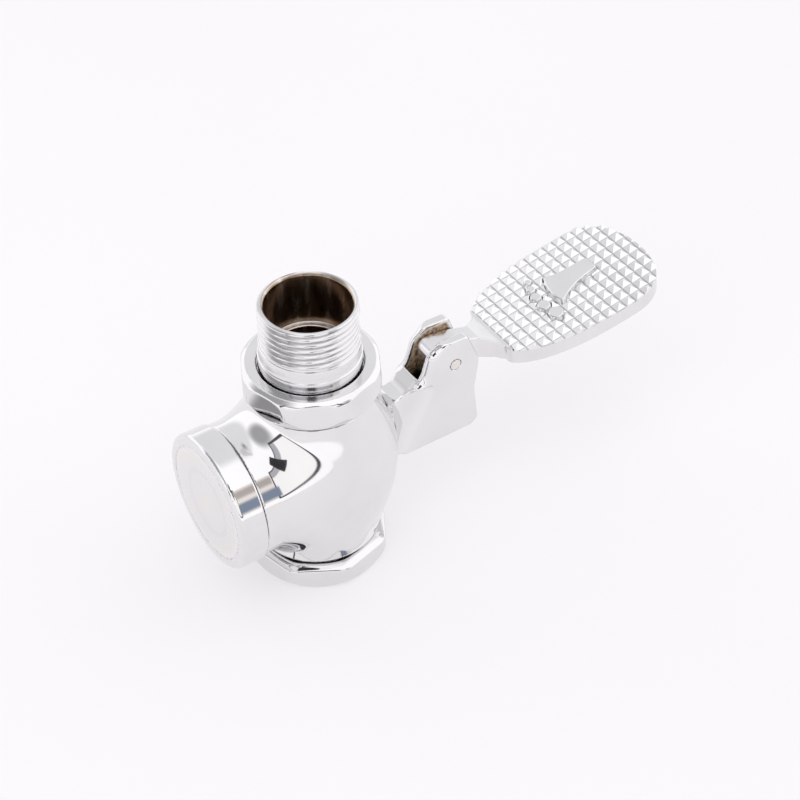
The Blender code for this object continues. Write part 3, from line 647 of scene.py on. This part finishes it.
def outer_casting(x, y, z):
    """The casting with none of its bores."""
    pipe = np.hypot(x, y)
    boss = bar(from_chamber(y, z) - BOSS_R, x, BOSS_FACE_X, 0, 1.0)
    solid = fillet(barrel(x, y, z), boss, BOSS_FILLET)
    solid = fillet(solid, bracket(x, y, z), BRACKET_FILLET)
    solid = cut(solid, np.maximum(BARREL_TOP_Z - z, pipe - 32.0), 0.5)
    solid = round_edge(solid, BARREL_LOW_Z + BARREL_GROOVE - z, 1.2)
    return smooth_max(solid, BOSS_FACE_X - x, 0.8)


def bores(x, y, z):
    """The chamber, the seat hole, the plenum and the gland on one axis, and the water ways up and down."""
    pipe = np.hypot(x, y)
    chamber = from_chamber(y, z)
    hollow = block(x, y, z, *DROP_WAY)
    for radius, start, end in (CHAMBER_BORE, SEAT_HOLE, PLENUM, ROD_BORE, GLAND_BORE):
        hollow = np.minimum(hollow, bar(chamber - radius, x, start, end))
    for radius, start, end in (INLET_WAY, OUTLET_WAY):
        hollow = np.minimum(hollow, bar(pipe - radius, z, start, end))
    return hollow


def body_field(x, y, z):
    solid = outer_casting(x, y, z)
    pipe = np.hypot(x, y)
    chamber = from_chamber(y, z)
    solid = np.minimum(solid, bar(pipe - INLET_SPIGOT_R, z, 60.0, body_high.z))
    solid = np.minimum(solid, bar(pipe - OUTLET_SPIGOT_R, z, body_low.z, 15.0))
    solid = np.minimum(solid, bar(chamber - CAP_THREAD_R, x, body_low.x, CAP_THREAD_END_X))
    solid = cut(solid, bores(x, y, z), 0.4)
    slot = block(x, y, z, (SLOT_START_X, -SLOT_HALF_WIDTH, SLOT_FLOOR_Z), (80.0, SLOT_HALF_WIDTH, 90.0))
    solid = cut(solid, slot, 1.4)
    pin_hole = np.hypot(x - PIN_X, z - PIN_Z) - PIN_R - 0.08 + 0 * y
    return cut(solid, pin_hole, 0.3)


def body_casting():
    """The body. The mark raw is 1 inside the bores, and deep is 1 at the bottom of the lever slot and in
    the gap over the lower nut, where the material paints shade near black.
    """
    material = polished_chrome("polished_casting", raw=True)
    piece, points, _ = surface_piece(
        "body_casting", body_field, 0.62, "housing", "valve_body", material
    )
    depth = -outer_casting(*points.T)
    x, y, z = points.T
    in_groove = (z < BARREL_LOW_Z + BARREL_GROOVE) & (np.hypot(x, y) < 21.0)
    mark(piece, "raw", np.maximum(np.clip((depth - 0.9) / 0.9, 0, 1), in_groove))
    below_edge = -outline(BRACKET_SIDE, x, z)
    # deep places the painted shade: near black at the slot's bottom and in the gap over the lower nut
    mark(piece, "deep", np.maximum(np.clip((below_edge - 5.0) / 2.5, 0, 1), in_groove))


# ---- nuts and cap


def octagon(x, y, flat, turn, corner=0.1):
    """An eight-sided prism about the pipe axis, with one flat facing in the direction of turn."""
    side = x * math.cos(turn) + y * math.sin(turn)
    for i in range(1, 8):
        direction = turn + math.tau * i / 8
        side = smooth_max(side, x * math.cos(direction) + y * math.sin(direction), corner)
    return side - flat


def nut(name, node, profile, flat, turn, material, shoulder_z=None, corner=0.1):
    """A turned blank cut to eight sides. Above shoulder_z, if it is given, the sides lean in."""
    def field(x, y, z):
        blank = outline(profile, np.hypot(x, y), z)
        sides = octagon(x, y, flat, turn, corner)
        solid = smooth_max(blank, sides, 0.45)
        if shoulder_z is None:
            return solid
        shoulder = (sides + SHOULDER_LEAN * (z - shoulder_z)) / math.hypot(1, SHOULDER_LEAN)
        return smooth_max(solid, shoulder, 0.8)

    surface_piece(name, field, 0.42, node, node, material)


def inlet_nut(material):
    low = inlet_nut_low.z
    high = inlet_nut_high.z
    lip = high - INLET_NUT_LIP
    inside = INLET_SPIGOT_R + GAP
    profile = rounded([
        (21.5, high, 0.8), (23.6, high - 1.5, 2.6), (INLET_NUT_CORNER, high - 5.0, 3.0),
        (INLET_NUT_CORNER, low + 5.6, 3.0), (22.7, low + 2.4, 2.0), (20.4, low, 0.4), (inside, low, 0.2),
        (inside, lip, 0), (INLET_LIP_R, lip, 0), (INLET_LIP_R, high - 0.6, 0.2), (18.4, high, 0.2),
    ])
    nut("inlet_nut_polished", "inlet_nut", profile, INLET_NUT_FLAT, INLET_NUT_TURN, material)


def outlet_nut(material):
    high = outlet_nut_high.z
    inside = OUTLET_SPIGOT_R + GAP
    profile = rounded([
        (OUTLET_NUT_CORNER, high, 0.3), (OUTLET_NUT_CORNER, 2.8, 2.5), (23.4, 0, 0.7),
        (OUTLET_BORE_R, 0, 0.4), (OUTLET_BORE_R, OUTLET_NUT_FLOOR, 0.2), (inside, OUTLET_NUT_FLOOR, 0),
        (inside, high, 0.3),
    ])
    nut(
        "outlet_nut_polished", "outlet_nut", profile, OUTLET_NUT_FLAT, OUTLET_NUT_TURN, material,
        OUTLET_NUT_SHOULDER_Z, corner=3.0,
    )


def cap():
    """The cap, with a slightly dished face inside a faint ring."""
    face = cap_low.x
    back = cap_high.x
    dish = face + 0.35
    inner = face + CAP_DISC
    seat = inner + CAP_BOSS_DEPTH
    thread = CAP_THREAD_R + GAP
    profile = rounded([
        (0, dish, 0), (19.5, face + 0.2, 30), (20.6, face, 1.0), (CAP_R, face, 1.7), (CAP_R, back, 0.5),
        (thread, back, 0.3), (thread, inner, 0), (CAP_BOSS_R, inner, 0), (CAP_BOSS_R, seat, 0.3),
        (0, seat, 0), (-CAP_BOSS_R, seat, 0), (-CAP_BOSS_R, dish, 0),
    ])

    def field(x, y, z):
        return outline(profile, from_chamber(y, z), x)

    piece, points, normals = surface_piece(
        "end_cap_polished", field, 0.45, "housing", "end_cap", faced_chrome()
    )
    mark(piece, "face", np.clip((-normals[:, 0] - 0.9) * 12, 0, 1))
    mark(piece, "reach", from_chamber(*points[:, 1:].T) / CAP_R)


# ---- the threaded nipple


def thread_depth(angle, z):
    """How far the helical thread's groove goes in, running out below and at the mouth."""
    turns = (z / THREAD_PITCH - angle / math.tau) % 1
    groove = 1 - np.abs(2 * turns - 1)
    groove = np.clip((groove - 0.22) / 0.66, 0, 1)
    starts = np.clip((z - THREAD_END_Z - 0.2) / 1.2, 0, 1)
    return THREAD_DEPTH * groove * starts


def nipple(material, steps=220):
    """A turned tail piece, its outer side cut with a right-hand thread."""
    mouth = nipple_high.z
    low = nipple_low.z
    flange = FLANGE_HIGH_Z
    step_z = COLLAR_TOP_Z
    profile = rounded([
        (INLET_SPIGOT_R, flange, 0.3), (INLET_SPIGOT_R, low, 0.3), (INLET_STEP_R, low, 0.3),
        (INLET_STEP_R, step_z, 0.5), (INLET_BORE_R, step_z, 0.3), (INLET_BORE_R, mouth - 1.0, 0.8),
        (15.3, mouth, 0.15), (THREAD_R - 0.5, mouth, 0.15), (THREAD_R, mouth - 0.7, 0.2),
        (THREAD_R, THREAD_END_Z, 0.1), (16.95, THREAD_END_Z - 0.3, 0.3), (16.95, step_z + 0.2, 0.2),
        (17.4, step_z - 0.1, 0.15), (17.4, flange, 0),
    ], 0.15)
    path = []
    for (r1, z1), (r2, z2) in zip(profile, profile[1:] + profile[:1]):
        on_thread = min(r1, r2) > 16.0 and min(z1, z2) > THREAD_END_Z - 0.5
        spacing = THREAD_FACET if on_thread else 1.5
        count = max(1, math.ceil(math.hypot(r2 - r1, z2 - z1) / spacing))
        path += [(r1 + (r2 - r1) * i / count, z1 + (z2 - z1) * i / count) for i in range(count)]
    radius, height = np.array(path).T
    angle = np.arange(steps)[:, None] * math.tau / steps
    outside = (radius > 15.9) & (height > THREAD_END_Z)
    radius = radius - outside * thread_depth(angle, height)
    points = np.stack([radius * np.cos(angle), radius * np.sin(angle), height + 0 * angle], axis=2)
    rows = len(path)
    number = np.arange(steps * rows).reshape(steps, rows)
    right = np.roll(number, -1, axis=0)
    quads = np.stack([number, np.roll(number, -1, axis=1), np.roll(right, -1, axis=1), right], axis=2)
    piece = make_piece(
        "inlet_nipple_threaded", points.reshape(-1, 3), quads.reshape(-1, 4).tolist(), "housing",
        "inlet_nipple", material,
    )
    piece.data.set_sharp_from_angle(angle=math.radians(40))
    bore = radius < 15.2
    on_step = (radius > INLET_STEP_R) & (radius < INLET_BORE_R + 0.05)
    step_ring = (np.abs(height - step_z) < 0.6) & on_step
    mark(piece, "raw", (bore * (1 - 0.75 * step_ring) + 0 * angle).ravel())
    # The groove mark places the painted shade in the thread's valleys
    mark(piece, "groove", (outside * thread_depth(angle, height) / THREAD_DEPTH).ravel())


# ---- the pedal


def plate_outline(inset=0.0, points=88):
    """The plate from above, as (length, width): a squarish oval, cut straight at the neck."""
    side = [(inset, PLATE_NECK_HALF, 0), (inset, -PLATE_NECK_HALF, 0)]
    for i in range(1, points):
        turn = math.tau * i / points - math.pi
        reach = PLATE_NEAR_REACH if math.cos(turn) < 0 else PLATE_LENGTH - PLATE_MIDDLE
        along = math.copysign(abs(math.cos(turn)) ** PLATE_SQUARENESS, math.cos(turn))
        across = math.copysign(abs(math.sin(turn)) ** PLATE_SQUARENESS, math.sin(turn))
        u = PLATE_MIDDLE + (reach - inset) * along
        if u > inset + 0.5:
            side.append((u, (PLATE_HALF_WIDTH - inset) * across, 0))
    return rounded(side)


PLATE_EDGE = plate_outline()
HOLLOW_EDGE = plate_outline(RIM_WALL)
LEVER_SIDE = rounded([
    (45.0, 38.6, 0.8), (50.0, 38.6, 0.8), (51.5, 52.0, 4), (55.4, 55.6, 3), (64.0, 56.6, 6),
    (80.0, 56.8, 0), (80.0, 62.0, 0), (73.0, 62.9, 2), (66.0, 65.7, 12), (57.0, 68.6, 14),
    (51.0, 69.5, 6), (45.0, 69.5, 3.2),
])
LEVER_PLAN_HALF = [
    (40.0, LEVER_HALF_WIDTH, 0), (65.6, LEVER_HALF_WIDTH, 3), (70.6, 7.2, 6),
    (73.6, PLATE_NECK_HALF, 1.5), (82.0, PLATE_NECK_HALF, 0),
]
LEVER_PLAN = rounded([(x, -y, radius) for x, y, radius in LEVER_PLAN_HALF] + LEVER_PLAN_HALF[::-1])
SOLE = rounded([
    (47.7, -0.5, 1.2), (42.0, -1.1, 20), (37.6, -2.0, 12), (33.0, -3.6, 8), (28.1, -6.2, 0.7),
    (27.2, -2.0, 12), (27.9, 3.0, 14), (29.8, 7.5, 0.7), (33.8, 6.2, 8), (40.0, 5.7, 20), (47.2, 5.8, 1.2),
])


def toe_circles():
    """Five round toes as (along, across, radius), the smallest first, in a row that curves a little."""
    circles = []
    for i in range(5):
        across = 9.4 - 3.2 * i - 0.35 * i**2
        circles.append((21.8 + 0.02 * (across + 1.5) ** 2, across, 1.2 + 0.35 * i))
    return circles


def turned_up(u, w):
    """From the plate's own tilted frame (length, height) to (x, z)."""
    cosine = math.cos(PEDAL_TILT)
    sine = math.sin(PEDAL_TILT)
    return u * cosine - w * sine, u * sine + w * cosine


def place_on_plate(points, corner=(PLATE_X, 0, PLATE_Z)):
    """From the plate's own frame (length, width, height), whose origin is at corner, to (x, y, z)."""
    u, v, w = np.asarray(points).T
    x, z = turned_up(u, w)
    return np.stack([x, v, z], axis=1) + corner


def pedal_field(u, v, w):
    """The pedal without its pyramids, in the plate's own frame."""
    x, z = turned_up(u, w)
    x = PLATE_X + x
    z = PLATE_Z + z
    edge = outline(PLATE_EDGE, u, v)
    bed = np.where(u > PYRAMIDS_START, TREAD_BED, 0.0)
    plate = round_edge(round_edge(edge, w - bed, 0.15), -w - RIM_DEPTH, 0.8)
    hollow = round_edge(outline(HOLLOW_EDGE, u, v), w + PLATE_THICKNESS, 1.5)
    plate = cut(plate, hollow, 0.8)
    rib = block(u, v, w, (-2.0, -3.0, -7.0), (PLATE_LENGTH - 1.5, 3.0, -2.5))
    plate = smooth_min(plate, rib, 1.5)
    lever = round_edge(outline(LEVER_SIDE, x, z), outline(LEVER_PLAN, x, v), 0.5)
    lever = smooth_max(lever, np.where(u > PYRAMIDS_START, w - TREAD_BED, -9.0), 0.1)
    solid = smooth_min(plate, lever, 1.0)
    pin_hole = np.hypot(x - PIN_X, z - PIN_Z) - PIN_R - GAP + 0 * v
    return cut(solid, pin_hole, 0.3)


def pedal_casting(material):
    low = (-32.5, -PLATE_HALF_WIDTH, -28.0)
    high = (PLATE_LENGTH, PLATE_HALF_WIDTH, 12.5)
    points, quads, normals = surface_of(pedal_field, low, high, 0.42)
    points = place_on_plate(points)
    normals = place_on_plate(normals, (0, 0, 0))
    make_piece("pedal_casting", points, quads.tolist(), "pedal", "pedal", material, normals)


def turning_of(path):
    """1 for an outline that runs anticlockwise, and -1 for one that runs clockwise."""
    x, y = np.array(path).T
    return np.sign(np.sum(x * np.roll(y, -1) - y * np.roll(x, -1)))


def spread(path, distance):
    """A closed outline moved outwards by a distance."""
    points = np.array(path)
    along = np.roll(points, -1, axis=0) - np.roll(points, 1, axis=0)
    along /= np.hypot(*along.T)[:, None]
    outwards = np.stack([along[:, 1], -along[:, 0]], axis=1) * turning_of(path)
    return points + distance * outwards


def stack_of_rings(rings):
    """A closed solid from outlines at heights, lowest first, as points and faces."""
    count = len(rings[0][0])
    points = [(u, v, height) for path, height in rings for u, v in path]
    faces = [list(range(count))[::-1], list(range(count * (len(rings) - 1), count * len(rings)))]
    for row in range(len(rings) - 1):
        for i in range(count):
            j = (i + 1) % count
            low = row * count
            faces.append([low + i, low + j, low + count + j, low + count + i])
    if turning_of(rings[0][0]) < 0:
        faces = [face[::-1] for face in faces]
    return points, faces


def circle(u, v, radius, sides=28):
    turns = np.arange(sides) * math.tau / sides
    return np.stack([u + radius * np.cos(turns), v + radius * np.sin(turns)], axis=1)


def pyramid_block():
    """A block of pyramids larger than the plate, as points and faces in the plate's frame."""
    long_count = math.ceil((PLATE_LENGTH - PYRAMIDS_START) / PYRAMID_LENGTH)
    wide_count = 2 * math.ceil(PLATE_HALF_WIDTH / PYRAMID_WIDTH) + 1
    groove = -PYRAMID_HEIGHT / 2
    points = []
    for i in range(long_count + 1):
        u = PYRAMIDS_START + i * PYRAMID_LENGTH
        points += [(u, (j - wide_count / 2) * PYRAMID_WIDTH, groove) for j in range(wide_count + 1)]
    faces = []
    for i in range(long_count):
        for j in range(wide_count):
            first = i * (wide_count + 1) + j
            base = [first, first + wide_count + 1, first + wide_count + 2, first + 1]
            middle = np.mean([points[k] for k in base], axis=0)
            tip = len(points)
            for k in base:
                u, v, _ = middle + (np.array(points[k]) - middle) * PYRAMID_TIP
                points.append((u, v, -groove))
            faces.append([tip, tip + 1, tip + 2, tip + 3])
            for k in range(4):
                n = (k + 1) % 4
                faces.append([base[k], base[n], tip + n, tip + k])
    # The four sides go straight down to a flat underside.
    columns = wide_count + 1
    last = long_count * columns
    sides = [
        list(range(0, columns)), list(range(wide_count, last + columns, columns)),
        list(range(last + wide_count, last - 1, -1)), list(range(last, -1, -columns)),
    ]
    floor = []
    for side in sides:
        floor.append(len(points))
        u, v, _ = points[side[0]]
        points.append((u, v, groove - 1.2))
    for k in range(4):
        faces.append(sides[k] + [floor[(k + 1) % 4], floor[k]])
    faces.append(floor)
    return points, faces


def solid_object(name, points, faces):
    """A plain mesh object in the plate's frame, for cutting or to be cut."""
    mesh = bpy.data.meshes.new(name)
    mesh.from_pydata([tuple(map(float, p)) for p in points], [], faces)
    shape = bmesh.new()
    shape.from_mesh(mesh)
    bmesh.ops.recalc_face_normals(shape, faces=shape.faces)
    shape.to_mesh(mesh)
    shape.free()
    return in_scene(bpy.data.objects.new(name, mesh))


def tread(material):
    """The pyramids, trimmed to the plate and cleared round the pictogram."""
    block_points, block_faces = pyramid_block()
    pyramids = solid_object("pyramids", block_points, block_faces)
    edge = spread(PLATE_EDGE, -0.03)
    trims = [("INTERSECT", solid_object("plate_trim", *stack_of_rings([(edge, -4.0), (edge, 4.0)])))]
    cleared = -PYRAMID_HEIGHT / 2 + 0.15
    around = [(spread(SOLE, PICTOGRAM_CLEARANCE), spread(SOLE, PICTOGRAM_CLEARANCE + 0.5))]
    for u, v, radius in toe_circles():
        around.append((circle(u, v, radius + 0.5), circle(u, v, radius + 0.9)))
    for low, high in around:
        clearing = solid_object("clearing", *stack_of_rings([(low, cleared), (high, 3.0)]))
        trims.append(("DIFFERENCE", clearing))
    for operation, cutter in trims:
        modifier = pyramids.modifiers.new("trim", "BOOLEAN")
        modifier.operation = operation
        modifier.solver = "EXACT"
        modifier.object = cutter
    graph = bpy.context.evaluated_depsgraph_get()
    result = pyramids.evaluated_get(graph).to_mesh()
    trimmed = np.array([vertex.co[:] for vertex in result.vertices])
    faces = [list(polygon.vertices) for polygon in result.polygons]
    for _, cutter in trims:
        bpy.data.objects.remove(cutter)
    bpy.data.objects.remove(pyramids)
    piece = sharp_piece("pedal_tread", place_on_plate(trimmed), faces, material)
    # The groove mark places the painted shade in the bottoms of the grooves between the pyramids
    mark(piece, "groove", np.clip(0.5 - trimmed[:, 2] / PYRAMID_HEIGHT, 0, 1))


def sharp_piece(name, points, faces, material):
    """A flat-sided piece of the pedal."""
    piece = make_piece(name, points, faces, "pedal", "pedal", material)
    piece.data.set_sharp_from_angle(angle=math.radians(18))
    return piece


def pictogram(material):
    """A raised sole and five toes, with sloping sides and a narrow bevel round the top."""
    shapes = [("sole", SOLE)]
    for i, (u, v, radius) in enumerate(toe_circles()):
        shapes.append((f"toe_{i}", circle(u, v, radius)))
    for name, path in shapes:
        rings = [(spread(path, 0.8), -1.4), (spread(path, 0.5), -0.3)]
        rings += [(spread(path, 0.05), PICTOGRAM_HEIGHT - 0.2), (spread(path, -0.2), PICTOGRAM_HEIGHT)]
        points, faces = stack_of_rings(rings)
        sharp_piece("pedal_" + name, place_on_plate(points), faces, material)


# ---- small pieces


def pivot_pin(material):
    def field(x, y, z):
        return bar(np.hypot(x - PIN_X, z - PIN_Z) - PIN_R, y, pin_low.y, pin_high.y, 0.5)

    surface_piece("pivot_pin_ground", field, 0.25, "housing", "pivot_pin", material)


def push_rod(material):
    radius = (rod_high.y - rod_low.y) / 2
    collar_radius = (collar_high.y - collar_low.y) / 2

    def rod_field(x, y, z):
        return bar(from_chamber(y, z) - radius, x, rod_low.x, rod_high.x, 1.2)

    def collar_field(x, y, z):
        chamber = from_chamber(y, z)
        ring = np.maximum(chamber - collar_radius, radius + GAP - chamber)
        return bar(ring, x, collar_low.x, collar_high.x, 0.3)

    for node, field, step in (("push_rod", rod_field, 0.3), ("push_rod_collar", collar_field, 0.2)):
        surface_piece(node + "_ground", field, step, "push_rod", node, material)


def coil_spring(node, part, wire, turns, material, body="housing", ends=None):
    """A compression spring about the chamber's axis, with closed ends, held at its left end.

    ends is given if it takes only a part of its node.
    """
    sides = 10
    steps_per_turn = 40
    low, high = box_of(node)
    left, right = ends or (low.x, high.x)
    mean = (high.y - low.y) / 2 - wire
    turn = np.linspace(0, turns, turns * steps_per_turn + 1)
    start = left + wire
    end = right - wire
    x = np.interp(turn, [0, 0.8, turns - 0.8, turns], [start, start + 1.6 * wire, end - 1.6 * wire, end])
    angle = turn * math.tau
    centre = np.stack([x, mean * np.cos(angle), CHAMBER_Z + mean * np.sin(angle)], axis=1)
    out = np.stack([0 * angle, np.cos(angle), np.sin(angle)], axis=1)
    rings = []
    for side in range(sides):
        lean = math.tau * side / sides
        rings.append(centre + wire * (math.cos(lean) * out + math.sin(lean) * np.array((1.0, 0, 0))))
    points = np.stack(rings, axis=1).reshape(-1, 3)
    number = np.arange(len(points)).reshape(-1, sides)
    beside = np.roll(number, -1, axis=1)
    quads = np.stack([number[:-1], number[1:], beside[1:], beside[:-1]], axis=2).reshape(-1, 4)
    faces = quads.tolist() + [number[0].tolist(), number[-1][::-1].tolist()]
    piece = make_piece(f"{node}_{part}", points, faces, body, node, material)
    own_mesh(piece)


def springs(material):
    """The relief spring stands on the cap, drawn in two halves: one rides on the housing, the other on the
    piston.
    """
    low, high = box_of("relief_spring")
    cap_half = (low.x, high.x - RELIEF_SPRING_STEM_PART)
    stem_half = (high.x - RELIEF_SPRING_STEM_PART, high.x)
    coil_spring("piston_spring", "coil", 0.7, 4, material)
    coil_spring("push_rod_spring", "coil", 0.3, 5, material)
    for part, turns, joint, travel, body, ends in (
        ("cap_half", 4, "piston_slide", PISTON_TRAVEL, "housing", cap_half),
        ("stem_half", 3, "relief_slide", ROD_TRAVEL, "piston", stem_half),
    ):
        coil_spring("relief_spring", part, 0.35, turns, material, body, ends)


def repaint(material, slot_name):
    """Give a material to each CAD node of a slot that is still shown."""
    for subpart in frame["record"]["subparts"]:
        node = frame["nodes"][subpart["node"]]
        if subpart["material_slot"] == slot_name and not node.hide_render:
            node.data.materials.clear()
            node.data.materials.append(material)
            node.data.shade_smooth()
            node.data.set_sharp_from_angle(angle=math.radians(35))


# ---- floor, light and camera


def aim(obj, place, towards, axis):
    """Put an object at a place, with one of its own axes pointing towards another."""
    obj.location = place
    obj.rotation_mode = "QUATERNION"
    obj.rotation_quaternion = (Vector(towards) - Vector(place)).to_track_quat(axis, "Y")


def flat_card(name, size, place, towards, material, height=None):
    """A plane of size metres at place, facing the point towards."""
    half = size / 2
    top = (height or size) / 2
    mesh = bpy.data.meshes.new(name)
    corners = [(-half, -top, 0), (half, -top, 0), (half, top, 0), (-half, top, 0)]
    mesh.from_pydata(corners, [], [(0, 1, 2, 3)])
    mesh.materials.append(material)
    card = in_scene(bpy.data.objects.new(name, mesh))
    aim(card, place, towards, "Z")
    return card


class Sky:
    """The tent round the object, as a world whose brightness depends on the direction."""

    def __init__(self, radiance):
        self.world = bpy.data.worlds.new("white_tent")
        self.world.use_nodes = True
        self.tree = self.world.node_tree
        self.direction = self.tree.nodes.new("ShaderNodeTexCoord").outputs["Generated"]
        start = self.tree.nodes.new("ShaderNodeRGB")
        start.outputs["Color"].default_value = (*radiance, 1)
        self.colour = start.outputs["Color"]

    def math(self, operation, first, second=0.0):
        node = new_node(self.tree, "ShaderNodeMath", {0: first, 1: second})
        node.operation = operation
        return node.outputs["Value"]

    def towards(self, azimuth, elevation):
        """How far the direction points the same way as another, from -1 to 1."""
        turn = math.radians(azimuth)
        lift = math.radians(elevation)
        across = math.cos(lift)
        other = (across * math.cos(turn), across * math.sin(turn), math.sin(lift))
        node = new_node(self.tree, "ShaderNodeVectorMath", {0: self.direction, 1: other})
        node.operation = "DOT_PRODUCT"
        return node.outputs["Value"]

    def step(self, value, low, high):
        """A smooth step from 0 at low to 1 at high. It falls if high is the smaller."""
        rising = high > low
        inputs = {"Value": value, "From Min": min(low, high), "From Max": max(low, high)}
        inputs["To Min"] = 0.0 if rising else 1.0
        inputs["To Max"] = 1.0 if rising else 0.0
        node = new_node(self.tree, "ShaderNodeMapRange", inputs)
        node.interpolation_type = "SMOOTHSTEP"
        return node.outputs["Result"]

    def patch(self, azimuth, elevation, edge, core):
        """A mask over a round patch, fading in from its edge's radius to its core's, in degrees."""
        facing = self.towards(azimuth, elevation)
        return self.step(facing, math.cos(math.radians(edge)), math.cos(math.radians(core)))

    def window(self, azimuth, half_width, low, high, edge=1.0):
        """A mask over a patch between two elevations, in degrees."""
        ahead = self.towards(azimuth, 0)
        beside = self.towards(azimuth + 90, 0)
        turn = self.math("ABSOLUTE", self.math("ARCTAN2", beside, ahead))
        width = self.step(turn, math.radians(half_width), math.radians(half_width - edge))
        up = self.math("ARCSINE", self.towards(0, 90))
        above = self.step(up, math.radians(low), math.radians(low + edge))
        below = self.step(up, math.radians(high), math.radians(high - edge))
        return self.math("MULTIPLY", self.math("MULTIPLY", width, above), below)

    def paint(self, mask, colour):
        """Lay a colour over the sky where mask is 1."""
        self.colour = mixed_colour(self.tree, mask, self.colour, colour)

    def finish(self):
        self.tree.links.new(self.colour, self.tree.nodes["Background"].inputs["Color"])
        bpy.context.scene.world = self.world


def tent():
    """White cloth all round, a greyer panel high behind, and a dim opening where the camera stands."""
    sky = Sky(TENT_WHITE)
    sky.paint(sky.patch(*GREY_PANEL, 46, 30), TENT_GREY)
    sky.paint(sky.patch(*SIDE_PANEL, 34, 12), SIDE_GREY)
    low, high = OPENING_HEIGHTS
    inside = OPENING_HALF_WIDTH - OPENING_FRAME
    sky.paint(sky.window(*WINDOW, low, high - 3, 1.0), WINDOW_PALE)
    sky.paint(sky.window(*WINDOW, 28, high - 3, 6.0), WINDOW_BROWN)
    sky.paint(sky.window(OPENING_AZIMUTH, OPENING_HALF_WIDTH, low - 1, high + 1.5, 0.7), OPENING_EDGE)
    sky.paint(sky.window(OPENING_AZIMUTH, inside, low + 1, high, 1.5), OPENING_TOP)
    sky.paint(sky.window(OPENING_AZIMUTH, inside, low + 1, high - 9, 1.5), OPENING_INSIDE)
    sky.paint(sky.window(WINDOW[0] - 9, 14, low, 27, 6.0), WINDOW_BLUE)
    sky.finish()


def studio():
    scene = bpy.context.scene
    scene.view_settings.view_transform = "Standard"
    tent()
    paper = Finish("white_paper", 0.8, 0.0)
    paper.set("Base Color", paper.ramp(paper.noise(0.3, 2.0), (0.3, FLOOR_DARK), (0.7, FLOOR_LIGHT)))
    paper.shader.inputs["Emission Color"].default_value = (*FLOOR_GLOW, 1)
    paper.shader.inputs["Emission Strength"].default_value = 1.0
    paper.shader.inputs["Specular IOR Level"].default_value = 0.1
    flat_card("floor", 6.0, (0, 0, 0), (0, 0, 1), paper.material)
    lamp = bpy.data.lights.new("soft_side_light", "AREA")
    lamp.shape = "DISK"
    lamp.size = 1.6
    lamp.energy = 5.0
    light = in_scene(bpy.data.objects.new("soft_side_light", lamp))
    aim(light, (-1.2, -0.4, 1.4), (0, 0, 0.04), "-Z")
    light.visible_glossy = False

    # The camera shows in the chrome as a small dark patch.
    dark = Finish("camera_front", 0.9, 0.0)
    grain = dark.noise(0.02, 2.0)
    dark.set("Base Color", dark.ramp(grain, (0.3, (0.015, 0.016, 0.018)), (0.7, (0.035, 0.035, 0.04))))
    centre = Vector((0, 0, 0.05))
    place = centre + (Vector(CAMERA_PLACE) + Vector((PIPE_X, 0, 0)) - centre) * 1.05
    card = flat_card("camera_front", 0.18, place, centre, dark.material, 0.32)
    card.visible_camera = False
    card.visible_diffuse = False
    card.visible_shadow = False


def camera():
    data = bpy.data.cameras.new("camera")
    data.sensor_width = 36.0
    data.lens = FOCAL_LENGTH
    obj = bpy.data.objects.new("camera", data)
    line = Vector(CAMERA_LINE).normalized()
    right = line.cross(Vector((0, 0, 1))).normalized()
    up = right.cross(line)
    turn = Matrix((right, up, -line)).transposed()
    obj.matrix_world = Matrix.Translation(Vector(CAMERA_PLACE) + Vector((PIPE_X, 0, 0))) @ turn.to_4x4()
    bpy.context.scene.camera = in_scene(obj)


camera()
studio()
plain_chrome = polished_chrome()
steel = drawn_steel()
body_casting()
nipple(machined_chrome())
inlet_nut(plain_chrome)
outlet_nut(plain_chrome)
cap()
pedal_material = cast_chrome()
knurled = knurled_chrome()
pedal_casting(pedal_material)
tread(knurled)
pictogram(pedal_material)
pivot_pin(steel)
push_rod(steel)
springs(steel)
repaint(turned_brass(), "raw_brass")
repaint(black_rubber(), "black_rubber")
